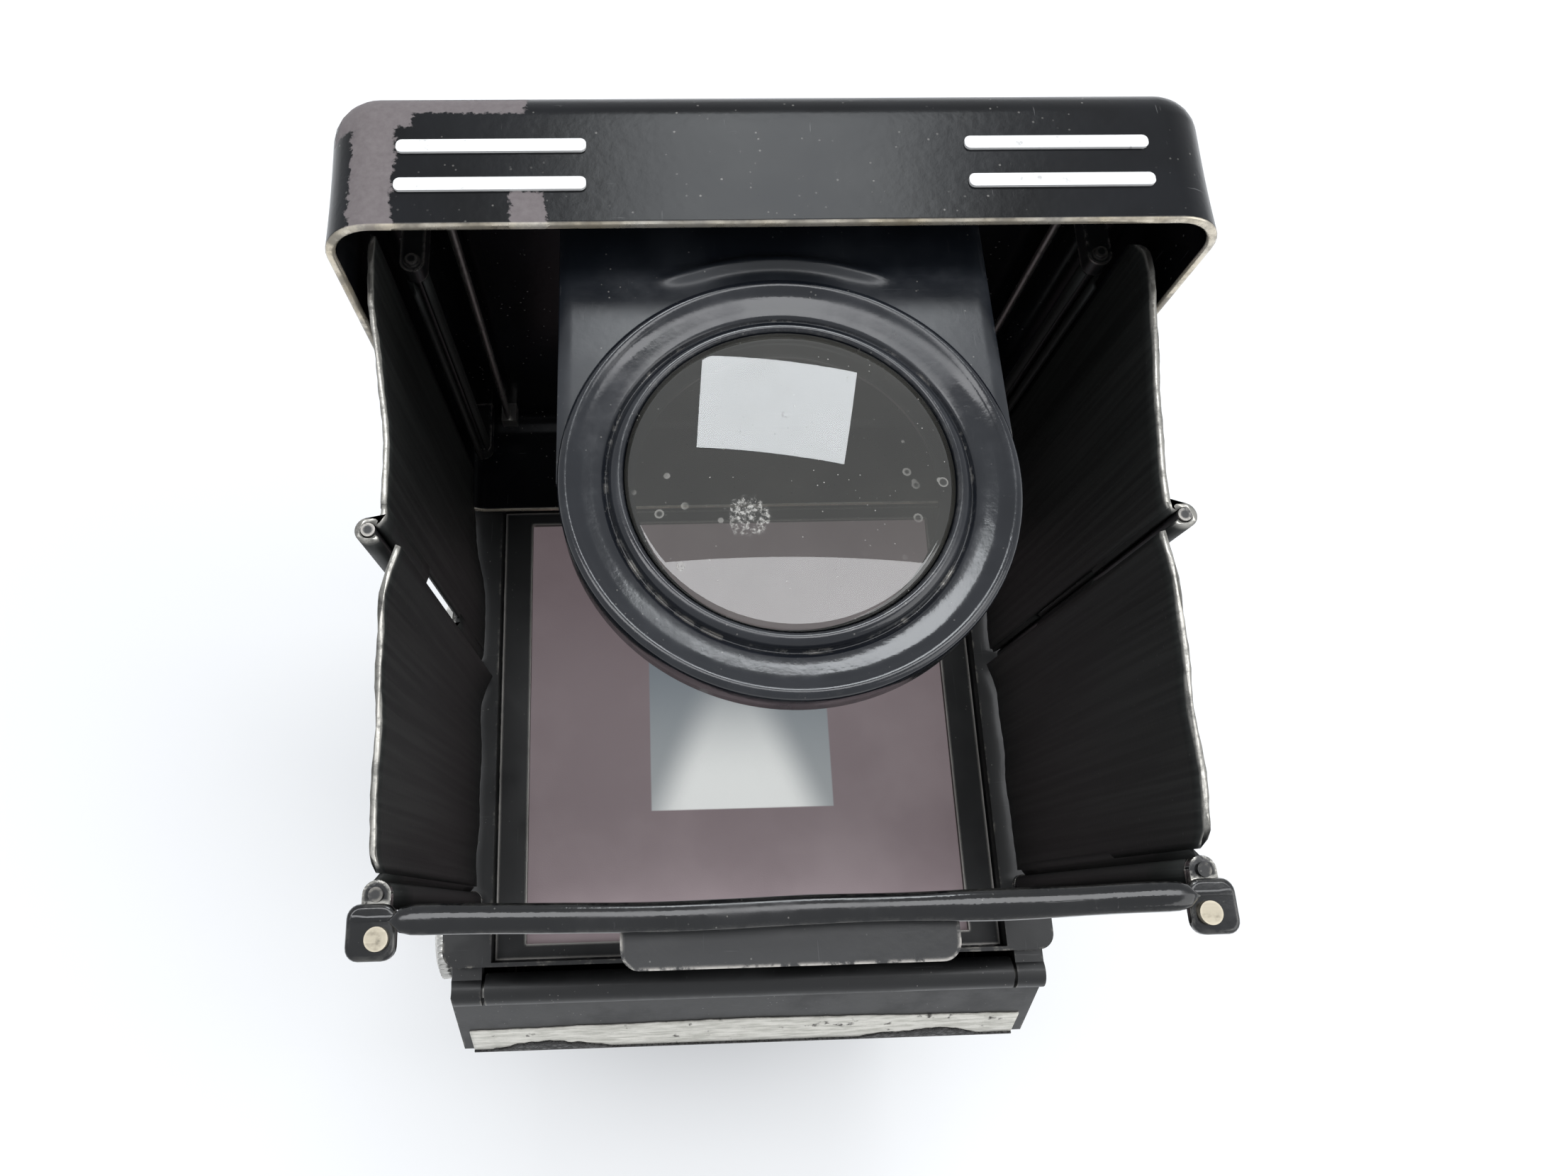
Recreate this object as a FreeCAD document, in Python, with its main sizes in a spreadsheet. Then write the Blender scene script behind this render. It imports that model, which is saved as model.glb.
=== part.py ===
import FreeCAD, Part
import os
import re
import Sketcher

# Twin lens reflex camera with a folding waist-level hood.
# Frame: millimetres, +Z up, the lenses face -Y and the photographer stands at +Y.
# The origin is the mouth of the tripod socket on the underside.

doc = FreeCAD.newDocument("twin_lens_reflex_camera")
sheet = doc.addObject("Spreadsheet::Sheet", "dim")
known = {}


def dims(**values):
    for name, value in values.items():
        row = len(known) + 1
        sheet.set("A%d" % row, name)
        sheet.set("B%d" % row, str(value))
        sheet.setAlias("B%d" % row, name)
        known[name] = value


# Body
dims(body_w=76, body_front=38.5, body_rear=27, floor_z=2, deck_z=108, wall=2, floor_t=1.5)
dims(corner=4, bulge_y=39.3, bulge_start=66, boss_w=60, boss_y=43)
dims(take_z=40, view_hole=20, take_hole=18, shoe=4)
# Film transport
dims(reel_r=12.5, reel_core=5, reel_w=64, take_y=26.5)
dims(roller_r=1.6, roller_y=21.5, roller_low=7.6, gate_half=28, film_y=25)
# Focusing screen and mirror
dims(screen_w=59, view_w=56, deck_t=5, deck_front=41, deck_rear=30.5, mirror_w=52)
# Folding hood
dims(lid_y=43.5, lid_d=14.6, lid_h=64, sheet_t=0.9, lid_r=4.5)
dims(leaf_t=0.6, front_h=54.3, mid_h=51.6, end_h=48.9)
dims(pin_a=36.4, pin_b=22.7, knuckle_r=1.2, knuckle_off=1.2, pin_r=0.6, bore_r=0.65, panel_y=24.2)
# Magnifier
dims(mag_y=37.8, mag_reach=29.6, mag_r=18.6, mag_w=37.5, mag_lens_r=13, mag_tilt=3.5)
# Lens standard
dims(std_y=44.5, std_t=2, std_w=63.2, std_low=12.4, skirt_t=1.2)
dims(view_r=15.5, barrel_len=11.5, glass_r=12, shutter_r=21, shutter_t=6, take_r=13.5)
# Controls
dims(focus_y=20, focus_z=48, focus_r=15, knob_r=6, shaft_r=3, key_r=2.1, crank_len=26)
# Back door
dims(hinge_y=33.2, hinge_r=1.9, door_t=1.8, door_gap=0.3, leather_t=0.6, door_knuckle=33)

# Places that follow from the sizes above
derived = {
    "deck_top": "(deck_z + deck_t)",
    "screen_z": "(deck_z + 2)",
    "view_z": "(deck_z - 26)",
    "bulge_high": "(deck_z - 13)",
    "bulge_low": "(deck_z - 30.5)",
    "take_up_z": "(deck_z - 21.5)",
    "supply_y": "(body_front - wall - reel_r - 0.4)",
    "supply_z": "(floor_z + floor_t + reel_r + 0.4)",
    "roller_high": "(take_z + gate_half + 4)",
    "hinge_z": "(deck_z + 1.5)",
    "std_high": "(deck_z - 1.4)",
    "lid_w": "(body_w + 0.6)",
    "lid_low": "(deck_top + 0.7)",
    "lid_top": "(lid_low + lid_h)",
    "leaf_x": "(body_w/2 - 4)",
    "leaf_low": "(deck_top + 1.7)",
    "leaf_high": "(leaf_low + front_h)",
    "mid_high": "(leaf_low + mid_h)",
    "end_high": "(leaf_low + end_h)",
    "panel_w": "(body_w - 4.8)",
    "panel_top": "(end_high - 0.2)",
    "mag_z": "(leaf_high + 1.6)",
}
doc.recompute()

WORDS = re.compile(r"[a-z][a-z0-9_]*")
nodes = []


def full(text):
    """Spells out the derived places and then points every size at its cell in the sheet."""
    spelled = str(text)
    while any(word in derived for word in WORDS.findall(spelled)):
        spelled = WORDS.sub(lambda m: derived.get(m.group(0), m.group(0)), spelled)
    return WORDS.sub(lambda m: "dim." + m.group(0) if m.group(0) in known else m.group(0), spelled)


def number(text):
    value = sheet.evalExpression(full(text))
    return float(getattr(value, "Value", value))


def bind(obj, prop, text):
    obj.setExpression(prop, full(text))


def seat(obj, x, y, z):
    bind(obj, "Placement.Base.x", x)
    bind(obj, "Placement.Base.y", y)
    bind(obj, "Placement.Base.z", z)


def box(name, x, y, z):
    obj = doc.addObject("Part::Box", name)
    for prop, pair in (("Length", x), ("Width", y), ("Height", z)):
        bind(obj, prop, "(%s) - (%s)" % (pair[1], pair[0]))
    seat(obj, x[0], y[0], z[0])
    return obj


TURNS = {
    "x": FreeCAD.Rotation(FreeCAD.Vector(0, 1, 0), 90),
    "y": FreeCAD.Rotation(FreeCAD.Vector(1, 0, 0), -90),
    "z": FreeCAD.Rotation(),
}


def rod(name, axis, centre, radius, span):
    """A cylinder along one axis; centre holds the other two coordinates in x, y, z order."""
    obj = doc.addObject("Part::Cylinder", name)
    obj.Placement = FreeCAD.Placement(FreeCAD.Vector(), TURNS[axis])
    bind(obj, "Radius", radius)
    bind(obj, "Height", "(%s) - (%s)" % (span[1], span[0]))
    base = {"x": (span[0], centre[0], centre[1]), "y": (centre[0], span[0], centre[1]),
            "z": (centre[0], centre[1], span[0])}[axis]
    seat(obj, *base)
    return obj


def ball(name, centre, radius):
    obj = doc.addObject("Part::Sphere", name)
    bind(obj, "Radius", radius)
    seat(obj, *centre)
    return obj


def fuse(name, parts):
    obj = doc.addObject("Part::MultiFuse", name)
    obj.Shapes = parts
    obj.Refine = True
    return obj


def cut(name, base, tools):
    tool = tools[0] if len(tools) == 1 else fuse(name + "_tools", tools)
    obj = doc.addObject("Part::Cut", name)
    obj.Base = base
    obj.Tool = tool
    obj.Refine = True
    return obj


def hold(name, *parts):
    """Keeps separate shapes together so that they can be placed and saved as one piece."""
    obj = doc.addObject("Part::Compound", name)
    obj.Links = list(parts)
    return obj


def common(name, parts):
    obj = doc.addObject("Part::MultiCommon", name)
    obj.Shapes = parts
    return obj


def slab(name, axis, first, second, span, radius):
    """A rounded rectangle drawn across one axis and filled along it."""
    a0, a1 = first
    b0, b1 = second
    inner_a = ("(%s) + (%s)" % (a0, radius), "(%s) - (%s)" % (a1, radius))
    inner_b = ("(%s) + (%s)" % (b0, radius), "(%s) - (%s)" % (b1, radius))
    order = {"x": lambda a, b: (span, a, b), "y": lambda a, b: (a, span, b),
             "z": lambda a, b: (a, b, span)}[axis]
    parts = [box(name + "_a", *order(inner_a, second)), box(name + "_b", *order(first, inner_b))]
    corners = [(a, b) for a in inner_a for b in inner_b]
    for i, centre in enumerate(corners):
        parts.append(rod("%s_r%d" % (name, i), axis, centre, radius, span))
    return fuse(name, parts)


def sketch(body, name, plane, points):
    """A closed polygon on one of the body's own origin planes, every corner bound to the sheet."""
    drawn = body.newObject("Sketcher::SketchObject", name)
    support = [item for item in body.Origin.OriginFeatures if item.Role == plane][0]
    drawn.AttachmentSupport = [(support, "")]
    drawn.MapMode = "FlatFace"
    at = [FreeCAD.Vector(number(a), number(b), 0) for a, b in points]
    for i in range(len(at)):
        drawn.addGeometry(Part.LineSegment(at[i], at[(i + 1) % len(at)]), False)
    for i in range(len(at)):
        drawn.addConstraint(Sketcher.Constraint("Coincident", i, 2, (i + 1) % len(at), 1))
    for i, (a, b) in enumerate(points):
        for kind, text, value in (("DistanceX", a, at[i].x), ("DistanceY", b, at[i].y)):
            if abs(value) < 1e-9:
                row = drawn.addConstraint(Sketcher.Constraint("PointOnObject", i, 1,
                                                              -2 if kind == "DistanceX" else -1))
                continue
            row = drawn.addConstraint(Sketcher.Constraint(kind, -1, 1, i, 1, value))
            drawn.setExpression("Constraints[%d]" % row, full(text))
    return drawn


def prism(name, plane, points, length, shift=("0", "0", "0")):
    """A polygon on an origin plane, filled to both sides of it, then moved into place."""
    body = doc.addObject("PartDesign::Body", name)
    pad = body.newObject("PartDesign::Pad", name + "_pad")
    pad.Profile = sketch(body, name + "_outline", plane, points)
    bind(pad, "Length", length)
    pad.Midplane = True
    body.Tip = pad
    seat(body, *shift)
    return body


def turned(name, points):
    """A profile of (radius, height) corners turned about the upright axis."""
    body = doc.addObject("PartDesign::Body", name)
    spun = body.newObject("PartDesign::Revolution", name + "_spun")
    profile = sketch(body, name + "_outline", "XZ_Plane", points)
    spun.Profile = profile
    spun.ReferenceAxis = (profile, ["V_Axis"])
    spun.Angle = 360
    body.Tip = spun
    return body


def node(label, obj):
    obj.Label = label
    nodes.append(obj)
    return obj


half = "body_w/2"
wide = ("-body_w/2", "body_w/2")

# ---- Body shell: open at the rear and the top, with a raised box that guides the lens standard ----
outer = slab("shell_outer", "z", wide, ("-body_front", "body_rear"), ("floor_z", "deck_z"), "corner")
tail = box("shell_tail", wide, ("body_rear - corner", "body_rear"), ("floor_z", "deck_z"))
boss = box("shell_boss", ("-boss_w/2", "boss_w/2"), ("-boss_y", "-body_front + 0.5"),
           ("std_low + 1.6", "std_high - 1.6"))
bulge_outline = [("body_rear - 1", "bulge_start"), ("body_rear", "bulge_start"), ("bulge_y", "bulge_low"),
                 ("bulge_y", "bulge_high"), ("body_rear + 4", "deck_z - 1"), ("body_rear - 1", "deck_z")]
bulge = prism("shell_bulge", "YZ_Plane", bulge_outline, "body_w")
inside = box("shell_inside", ("-body_w/2 + wall", "body_w/2 - wall"), ("-body_front + wall", "bulge_y + 1"),
             ("floor_z + floor_t", "deck_z + 1"))
stub = rod("shell_stub", "x", ("-supply_y", "supply_z"), "key_r", ("-body_w/2 + 0.5", "-reel_w/2 + 4"))
stub_seat = rod("shell_stub_seat", "x", ("-supply_y", "supply_z"), "5", ("-body_w/2 + 1", "-reel_w/2 - 1"))
keeper = box("shell_keeper", ("-6", "6"), ("body_rear - 0.8", "body_rear"),
             ("floor_z + 1", "floor_z + 2.8"))
holes = [
    rod("hole_view", "y", ("0", "view_z"), "view_hole", ("-boss_y - 1", "-body_front + 4")),
    rod("hole_take", "y", ("0", "take_z"), "take_hole", ("-boss_y - 1", "-body_front + 4")),
    rod("hole_focus", "x", ("-focus_y", "focus_z"), "shaft_r + 0.08", ("body_w/2 - 4", "body_w/2 + 1")),
    rod("hole_reel", "x", ("take_y", "take_up_z"), "key_r + 0.08", ("-body_w/2 - 1", "body_w/2 + 1")),
    rod("hole_supply", "x", ("-supply_y", "supply_z"), "key_r + 0.08", ("body_w/2 - 4", "body_w/2 + 1")),
    rod("hole_low", "x", ("roller_y", "roller_low"), "0.88", ("-body_w/2 + 0.8", "body_w/2 - 0.8")),
    rod("hole_high", "x", ("roller_y", "roller_high"), "0.88", ("-body_w/2 + 0.8", "body_w/2 - 0.8")),
    rod("hole_bush", "z", ("0", "0"), "8", ("floor_z - 1", "floor_z + 3")),
]
hollow = cut("shell_hollow", fuse("shell_solid", [outer, tail, boss, bulge]), [inside])
node("body_shell", cut("shell", fuse("shell_joined", [hollow, stub, stub_seat, keeper]), holes))

bush_outer = rod("bush_outer", "z", ("0", "0"), "8", ("0", "floor_z + 4"))
node("tripod_bush", cut("bush", bush_outer,
                        [rod("bush_bore", "z", ("0", "0"), "3.175", ("-1", "floor_z + 3"))]))

feet = [rod("foot_%d" % i, "z", (x, y), "shoe", ("0", "floor_z"))
        for i, (x, y) in enumerate([("28", "-30"), ("28", "18"), ("-28", "-30"), ("-28", "18")])]
node("feet", fuse("feet_group", feet))

lugs = []
for side, sign in (("l", ""), ("r", "-")):
    span = ("body_w/2", "body_w/2 + 1.6") if sign == "" else ("-body_w/2 - 1.6", "-body_w/2")
    head = ("body_w/2 + 1.6", "body_w/2 + 2.6") if sign == "" else ("-body_w/2 - 2.6", "-body_w/2 - 1.6")
    lugs.append(rod("lug_neck_" + side, "x", ("-15", "deck_z - 4"), "2", span))
    lugs.append(rod("lug_head_" + side, "x", ("-15", "deck_z - 4"), "3.2", head))
node("strap_lugs", fuse("lug_group", lugs))

# ---- Leather coverings on the two sides ----
left_skin = slab("skin_left", "x", ("-body_front + 3", "body_rear - 1"), ("floor_z + 3", "deck_z - 9"),
                 (half, "body_w/2 + leather_t"), "3")
node("leather_left", cut("skin_left_cut", left_skin, [
    rod("skin_focus", "x", ("-focus_y", "focus_z"), "shaft_r + 2", (half, "body_w/2 + 2")),
    rod("skin_upper", "x", ("take_y", "take_up_z"), "key_r + 2", (half, "body_w/2 + 2")),
    rod("skin_supply", "x", ("-supply_y", "supply_z"), "key_r + 2", (half, "body_w/2 + 2"))]))
right_skin = slab("skin_right", "x", ("-body_front + 3", "body_rear - 1"), ("floor_z + 3", "deck_z - 9"),
                  ("-body_w/2 - leather_t", "-body_w/2"), "3")
node("leather_right", cut("skin_right_cut", right_skin, [
    rod("skin_crank", "x", ("take_y", "take_up_z"), "10", ("-body_w/2 - 2", "-body_w/2"))]))

# ---- Film chamber: a tapering light box ending in the picture gate ----
funnel = doc.addObject("Part::Wedge", "funnel_outer")
funnel_in = doc.addObject("Part::Wedge", "funnel_inner")
for wedge, grow, over in ((funnel, "1", "0"), (funnel_in, "0", "0.5")):
    bind(wedge, "Ymin", "-10 - %s" % over)
    bind(wedge, "Ymax", "22 + %s" % over)
    for axis, middle in (("X", "0"), ("Z", "take_z")):
        bind(wedge, axis + "min", "%s - 16 - %s" % (middle, grow))
        bind(wedge, axis + "max", "%s + 16 + %s" % (middle, grow))
        bind(wedge, axis + "2min", "%s - gate_half - %s" % (middle, grow))
        bind(wedge, axis + "2max", "%s + gate_half + %s" % (middle, grow))
gate = box("gate_plate", ("-body_w/2 + wall", "body_w/2 - wall"), ("22", "film_y - 0.4"),
           ("take_z - 30", "take_z + 29.8"))
gate_hole = box("gate_hole", ("-gate_half", "gate_half"), ("21", "film_y + 1"),
                ("take_z - gate_half", "take_z + gate_half"))
node("film_chamber", fuse("chamber", [cut("funnel", funnel, [funnel_in]), cut("gate", gate, [gate_hole])]))

for label, height in (("film_roller_lower", "roller_low"), ("film_roller_upper", "roller_high")):
    barrel = rod(label + "_barrel", "x", ("roller_y", height), "roller_r", ("-31", "31"))
    journal = rod(label + "_journal", "x", ("roller_y", height), "0.8",
                  ("-body_w/2 + 1.2", "body_w/2 - 1.2"))
    node(label, fuse(label + "_turned", [barrel, journal]))

for label, y, z in (("supply_spool", "-supply_y", "supply_z"), ("take_up_spool", "take_y", "take_up_z")):
    parts = [rod(label + "_core", "x", (y, z), "reel_core", ("-reel_w/2", "reel_w/2")),
             rod(label + "_flange_l", "x", (y, z), "reel_r", ("reel_w/2 - 1.2", "reel_w/2")),
             rod(label + "_flange_r", "x", (y, z), "reel_r", ("-reel_w/2", "-reel_w/2 + 1.2"))]
    bore = rod(label + "_bore", "x", (y, z), "key_r + 0.08", ("-reel_w/2 - 1", "reel_w/2 + 1"))
    node(label, cut(label + "_bored", fuse(label + "_reel", parts), [bore]))

# ---- Pull-out knobs that hold the spools on the left-hand side ----
for label, y, z in (("spool_knob_upper", "take_y", "take_up_z"),
                    ("spool_knob_lower", "-supply_y", "supply_z")):
    shank = rod(label + "_shank", "x", (y, z), "key_r", ("reel_w/2 - 4", "body_w/2 + 2"))
    head = rod(label + "_head", "x", (y, z), "knob_r", ("body_w/2 + 1.6", "body_w/2 + 5.4"))
    rim = rod(label + "_rim", "x", (y, z), "knob_r + 0.5", ("body_w/2 + 3.2", "body_w/2 + 4.8"))
    neck = rod(label + "_neck", "x", (y, z), "4", ("body_w/2 + 0.9", "body_w/2 + 1.6"))
    node(label, fuse(label + "_knob", [shank, neck, head, rim]))

# ---- Reflex mirror, inclined between the viewing lens and the screen ----
tilt = FreeCAD.Rotation(FreeCAD.Vector(1, 0, 0), 45)
mirror = box("mirror_glass", ("-mirror_w/2", "mirror_w/2"), ("-33", "33"), ("-1.5", "0"))
bracket = box("mirror_back", ("-mirror_w/2 - 2", "mirror_w/2 + 2"), ("-34", "34"), ("-2.5", "-1.5"))
rails = [box("mirror_rail_" + s, x, ("-34", "34"), ("-2.5", "0.6"))
         for s, x in (("l", ("mirror_w/2", "mirror_w/2 + 2")), ("r", ("-mirror_w/2 - 2", "-mirror_w/2")))]
ears = [box("mirror_ear_" + s, x, ("10", "20"), ("-2.5", "-1.5"))
        for s, x in (("l", ("mirror_w/2 + 1", "body_w/2 - wall")),
                     ("r", ("-body_w/2 + wall", "-mirror_w/2 - 1")))]
for label, obj in (("reflex_mirror", hold("mirror_set", mirror)),
                   ("mirror_bracket", fuse("bracket_set", [bracket] + rails + ears))):
    obj.Placement = FreeCAD.Placement(FreeCAD.Vector(), tilt)
    seat(obj, "0", "0", "view_z")
    node(label, obj)

# ---- Deck frame with the focusing screen and its mask ----
deck = slab("deck_plate", "z", wide, ("-deck_front", "deck_rear"), ("deck_z", "deck_top"), "2")
opening = [
    box("deck_light", ("-view_w/2", "view_w/2"), ("-view_w/2", "view_w/2"), ("deck_z - 1", "deck_top + 1")),
    box("deck_seat", ("-screen_w/2 - 0.1", "screen_w/2 + 0.1"), ("-screen_w/2 - 0.1", "screen_w/2 + 0.1"),
        ("screen_z - 1.2", "deck_top + 1")),
    box("deck_mask_seat", ("-32", "32"), ("-32 + 2", "30"), ("screen_z", "deck_top + 1")),
]
deck_knuckles = []
for side, span in (("l", ("door_knuckle + 0.4", "37")), ("r", ("-37", "-door_knuckle - 0.4"))):
    deck_knuckles.append(rod("deck_barrel_" + side, "x", ("hinge_y", "hinge_z"), "hinge_r", span))
    deck_knuckles.append(box("deck_web_" + side, span, ("deck_rear - 0.4", "hinge_y"),
                             ("hinge_z - 0.5", "hinge_z + 1.5")))
for side, span in (("l", ("12", "30")), ("r", ("-30", "-12"))):
    deck_knuckles.append(rod("lid_barrel_" + side, "x", ("-deck_front - 1.6", "deck_top - 0.8"), "1.3",
                             span))
    deck_knuckles.append(box("lid_web_" + side, span, ("-deck_front - 1.6", "-deck_front + 1"),
                             ("deck_top - 2.1", "deck_top - 1.1")))
deck_bores = [rod("deck_bore", "x", ("hinge_y", "hinge_z"), "1", ("-40", "40")),
              rod("lid_bore", "x", ("-deck_front - 1.6", "deck_top - 0.8"), "0.6", ("-40", "40"))]
node("deck_frame", cut("deck", fuse("deck_solid", [cut("deck_open", deck, opening)] + deck_knuckles),
                       deck_bores))
node("focusing_screen", box("screen_glass", ("-screen_w/2", "screen_w/2"), ("-screen_w/2", "screen_w/2"),
                            ("screen_z - 1.2", "screen_z")))
mask = box("mask_plate", ("-31.8", "31.8"), ("-29.8", "29.8"), ("screen_z", "screen_z + 0.8"))
node("screen_frame", cut("mask", mask,
                         [box("mask_light", ("-view_w/2", "view_w/2"), ("-view_w/2", "view_w/2"),
                                            ("screen_z - 1", "screen_z + 2"))]))
node("door_hinge_pin", rod("hinge_pin", "x", ("hinge_y", "hinge_z"), "1", ("-36.4", "36.4")))

# ---- Back door: one bent skin hung from the top rear edge ----
inner_line = [("hinge_y - 1.4", "deck_z - 1"), ("bulge_y + door_gap", "bulge_high + 0.2"),
              ("bulge_y + door_gap", "bulge_low - 0.2"), ("body_rear + door_gap", "bulge_start - 0.1"),
              ("body_rear + door_gap", "floor_z")]
outer_line = [("body_rear + door_gap + door_t", "floor_z"),
              ("body_rear + door_gap + door_t", "bulge_start - 0.9"),
              ("bulge_y + door_gap + door_t", "bulge_low - 0.9"),
              ("bulge_y + door_gap + door_t", "bulge_high + 0.8"),
              ("hinge_y + 0.6", "deck_z + 0.4")]
door_skin = prism("door_skin", "YZ_Plane", inner_line + outer_line, "body_w - 0.4")
door_barrel = rod("door_barrel", "x", ("hinge_y", "hinge_z"), "hinge_r", ("-door_knuckle", "door_knuckle"))
door_bores = [
    rod("door_bore", "x", ("hinge_y", "hinge_z"), "1.08", ("-40", "40")),
    rod("door_clear_l", "x", ("hinge_y", "hinge_z"), "hinge_r + 0.35", ("door_knuckle", "40")),
    rod("door_clear_r", "x", ("hinge_y", "hinge_z"), "hinge_r + 0.35", ("-40", "-door_knuckle")),
    rod("door_latch_hole", "y", ("0", "floor_z + 5"), "1.6", ("body_rear", "body_rear + 4")),
]
node("back_door", cut("door", fuse("door_solid", [door_skin, door_barrel]), door_bores))
skin_inner = [("bulge_y + door_gap + door_t", "bulge_high"),
              ("bulge_y + door_gap + door_t", "bulge_low - 0.9"),
              ("body_rear + door_gap + door_t", "bulge_start - 0.9"),
              ("body_rear + door_gap + door_t", "floor_z + 10")]
skin_outer = [("body_rear + door_gap + door_t + leather_t", "floor_z + 10"),
              ("body_rear + door_gap + door_t + leather_t", "bulge_start - 1.15"),
              ("bulge_y + door_gap + door_t + leather_t", "bulge_low - 1.15"),
              ("bulge_y + door_gap + door_t + leather_t", "bulge_high")]
node("leather_back", prism("leather_back_skin", "YZ_Plane", skin_inner + skin_outer, "body_w - 3"))
plate = box("plate_face", ("-30", "30"), ("film_y + 0.2", "film_y + 1.2"), ("take_z - 29", "take_z + 29"))
strips = [box("plate_spring_%d" % i, x, ("film_y + 1.2", "body_rear + door_gap"),
              ("take_z - 22", "take_z + 22"))
          for i, x in enumerate((("-16", "-10"), ("10", "16")))]
node("pressure_plate", fuse("plate_set", [plate] + strips))
latch_parts = [
    rod("latch_head", "y", ("0", "floor_z + 5"), "5",
        ("body_rear + door_gap + door_t + 0.3", "body_rear + 5")),
    box("latch_grip", ("-4.2", "4.2"), ("body_rear + 5", "body_rear + 7"), ("floor_z + 4", "floor_z + 6")),
    rod("latch_shaft", "y", ("0", "floor_z + 5"), "1.5", ("body_rear - 1.8", "body_rear + 3")),
    box("latch_bar", ("-3.4", "3.4"), ("body_rear - 1.8", "body_rear - 1.1"),
        ("floor_z + 3.9", "floor_z + 6.1")),
]
node("door_latch", fuse("latch", latch_parts))

# ---- Hood lid: a deep tray standing at the front edge of the deck ----
lid_x = ("-lid_w/2", "lid_w/2")
lid_outer = slab("lid_outer", "y", lid_x, ("lid_low", "lid_top"), ("-lid_y", "-lid_y + lid_d"), "lid_r")
lid_inner = slab("lid_inner", "y", ("-lid_w/2 + sheet_t", "lid_w/2 - sheet_t"),
                 ("lid_low + sheet_t", "lid_top - sheet_t"), ("-lid_y + sheet_t", "-lid_y + lid_d + 1"),
                 "lid_r - sheet_t")
lid_barrel = rod("lid_barrel", "x", ("-deck_front - 1.6", "deck_top - 0.8"), "1.3", ("-11.6", "11.6"))
lid_tongue = box("lid_tongue", ("-11.6", "11.6"), ("-deck_front - 2", "-deck_front"),
                 ("deck_top + 0.2", "lid_low + 0.5"))
bars = []
slots = []
for i, (x0, x1) in enumerate((("16", "31.8"), ("-31.8", "-16"))):
    for j, back in enumerate(("3.9", "7.7")):
        y = ("-lid_y + lid_d - %s - 0.62" % back, "-lid_y + lid_d - %s + 0.62" % back)
        bars.append(slab("bar_%d%d" % (i, j), "z", (x0, x1), y, ("lid_top - 0.3", "lid_top + 0.15"), "0.5"))
        slots.append(slab("slot_%d%d" % (i, j), "z", (x0, x1), y, ("lid_top - 0.3", "lid_top + 1"), "0.5"))
lid_tray = fuse("lid_solid", [cut("lid_tray", lid_outer, [lid_inner]), lid_barrel, lid_tongue])
node("hood_lid", cut("lid", lid_tray, slots + [
    rod("lid_pin_bore", "x", ("-deck_front - 1.6", "deck_top - 0.8"), "0.6", ("-12", "12"))]))
node("lid_trim_bars", fuse("bars_group", bars))
node("lid_hinge_pin", rod("lid_pin", "x", ("-deck_front - 1.6", "deck_top - 0.8"), "0.6",
                          ("-30.4", "30.4")))
wires = []
for side, x in (("l", "30.5"), ("r", "-30.5")):
    wires.append(rod("wire_rod_" + side, "z", (x, "-lid_y + sheet_t + 2"), "0.45",
                     ("lid_low + 4", "lid_top - 5")))
    for tag, z in (("a", ("lid_low + 4", "lid_low + 6")), ("b", ("lid_top - 7", "lid_top - 5"))):
        wires.append(box("wire_clip_%s%s" % (side, tag), ("%s - 1" % x, "%s + 1" % x),
                         ("-lid_y + sheet_t", "-lid_y + sheet_t + 2.6"), z))
node("lid_spring_wires", fuse("wires_group", wires))

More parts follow.
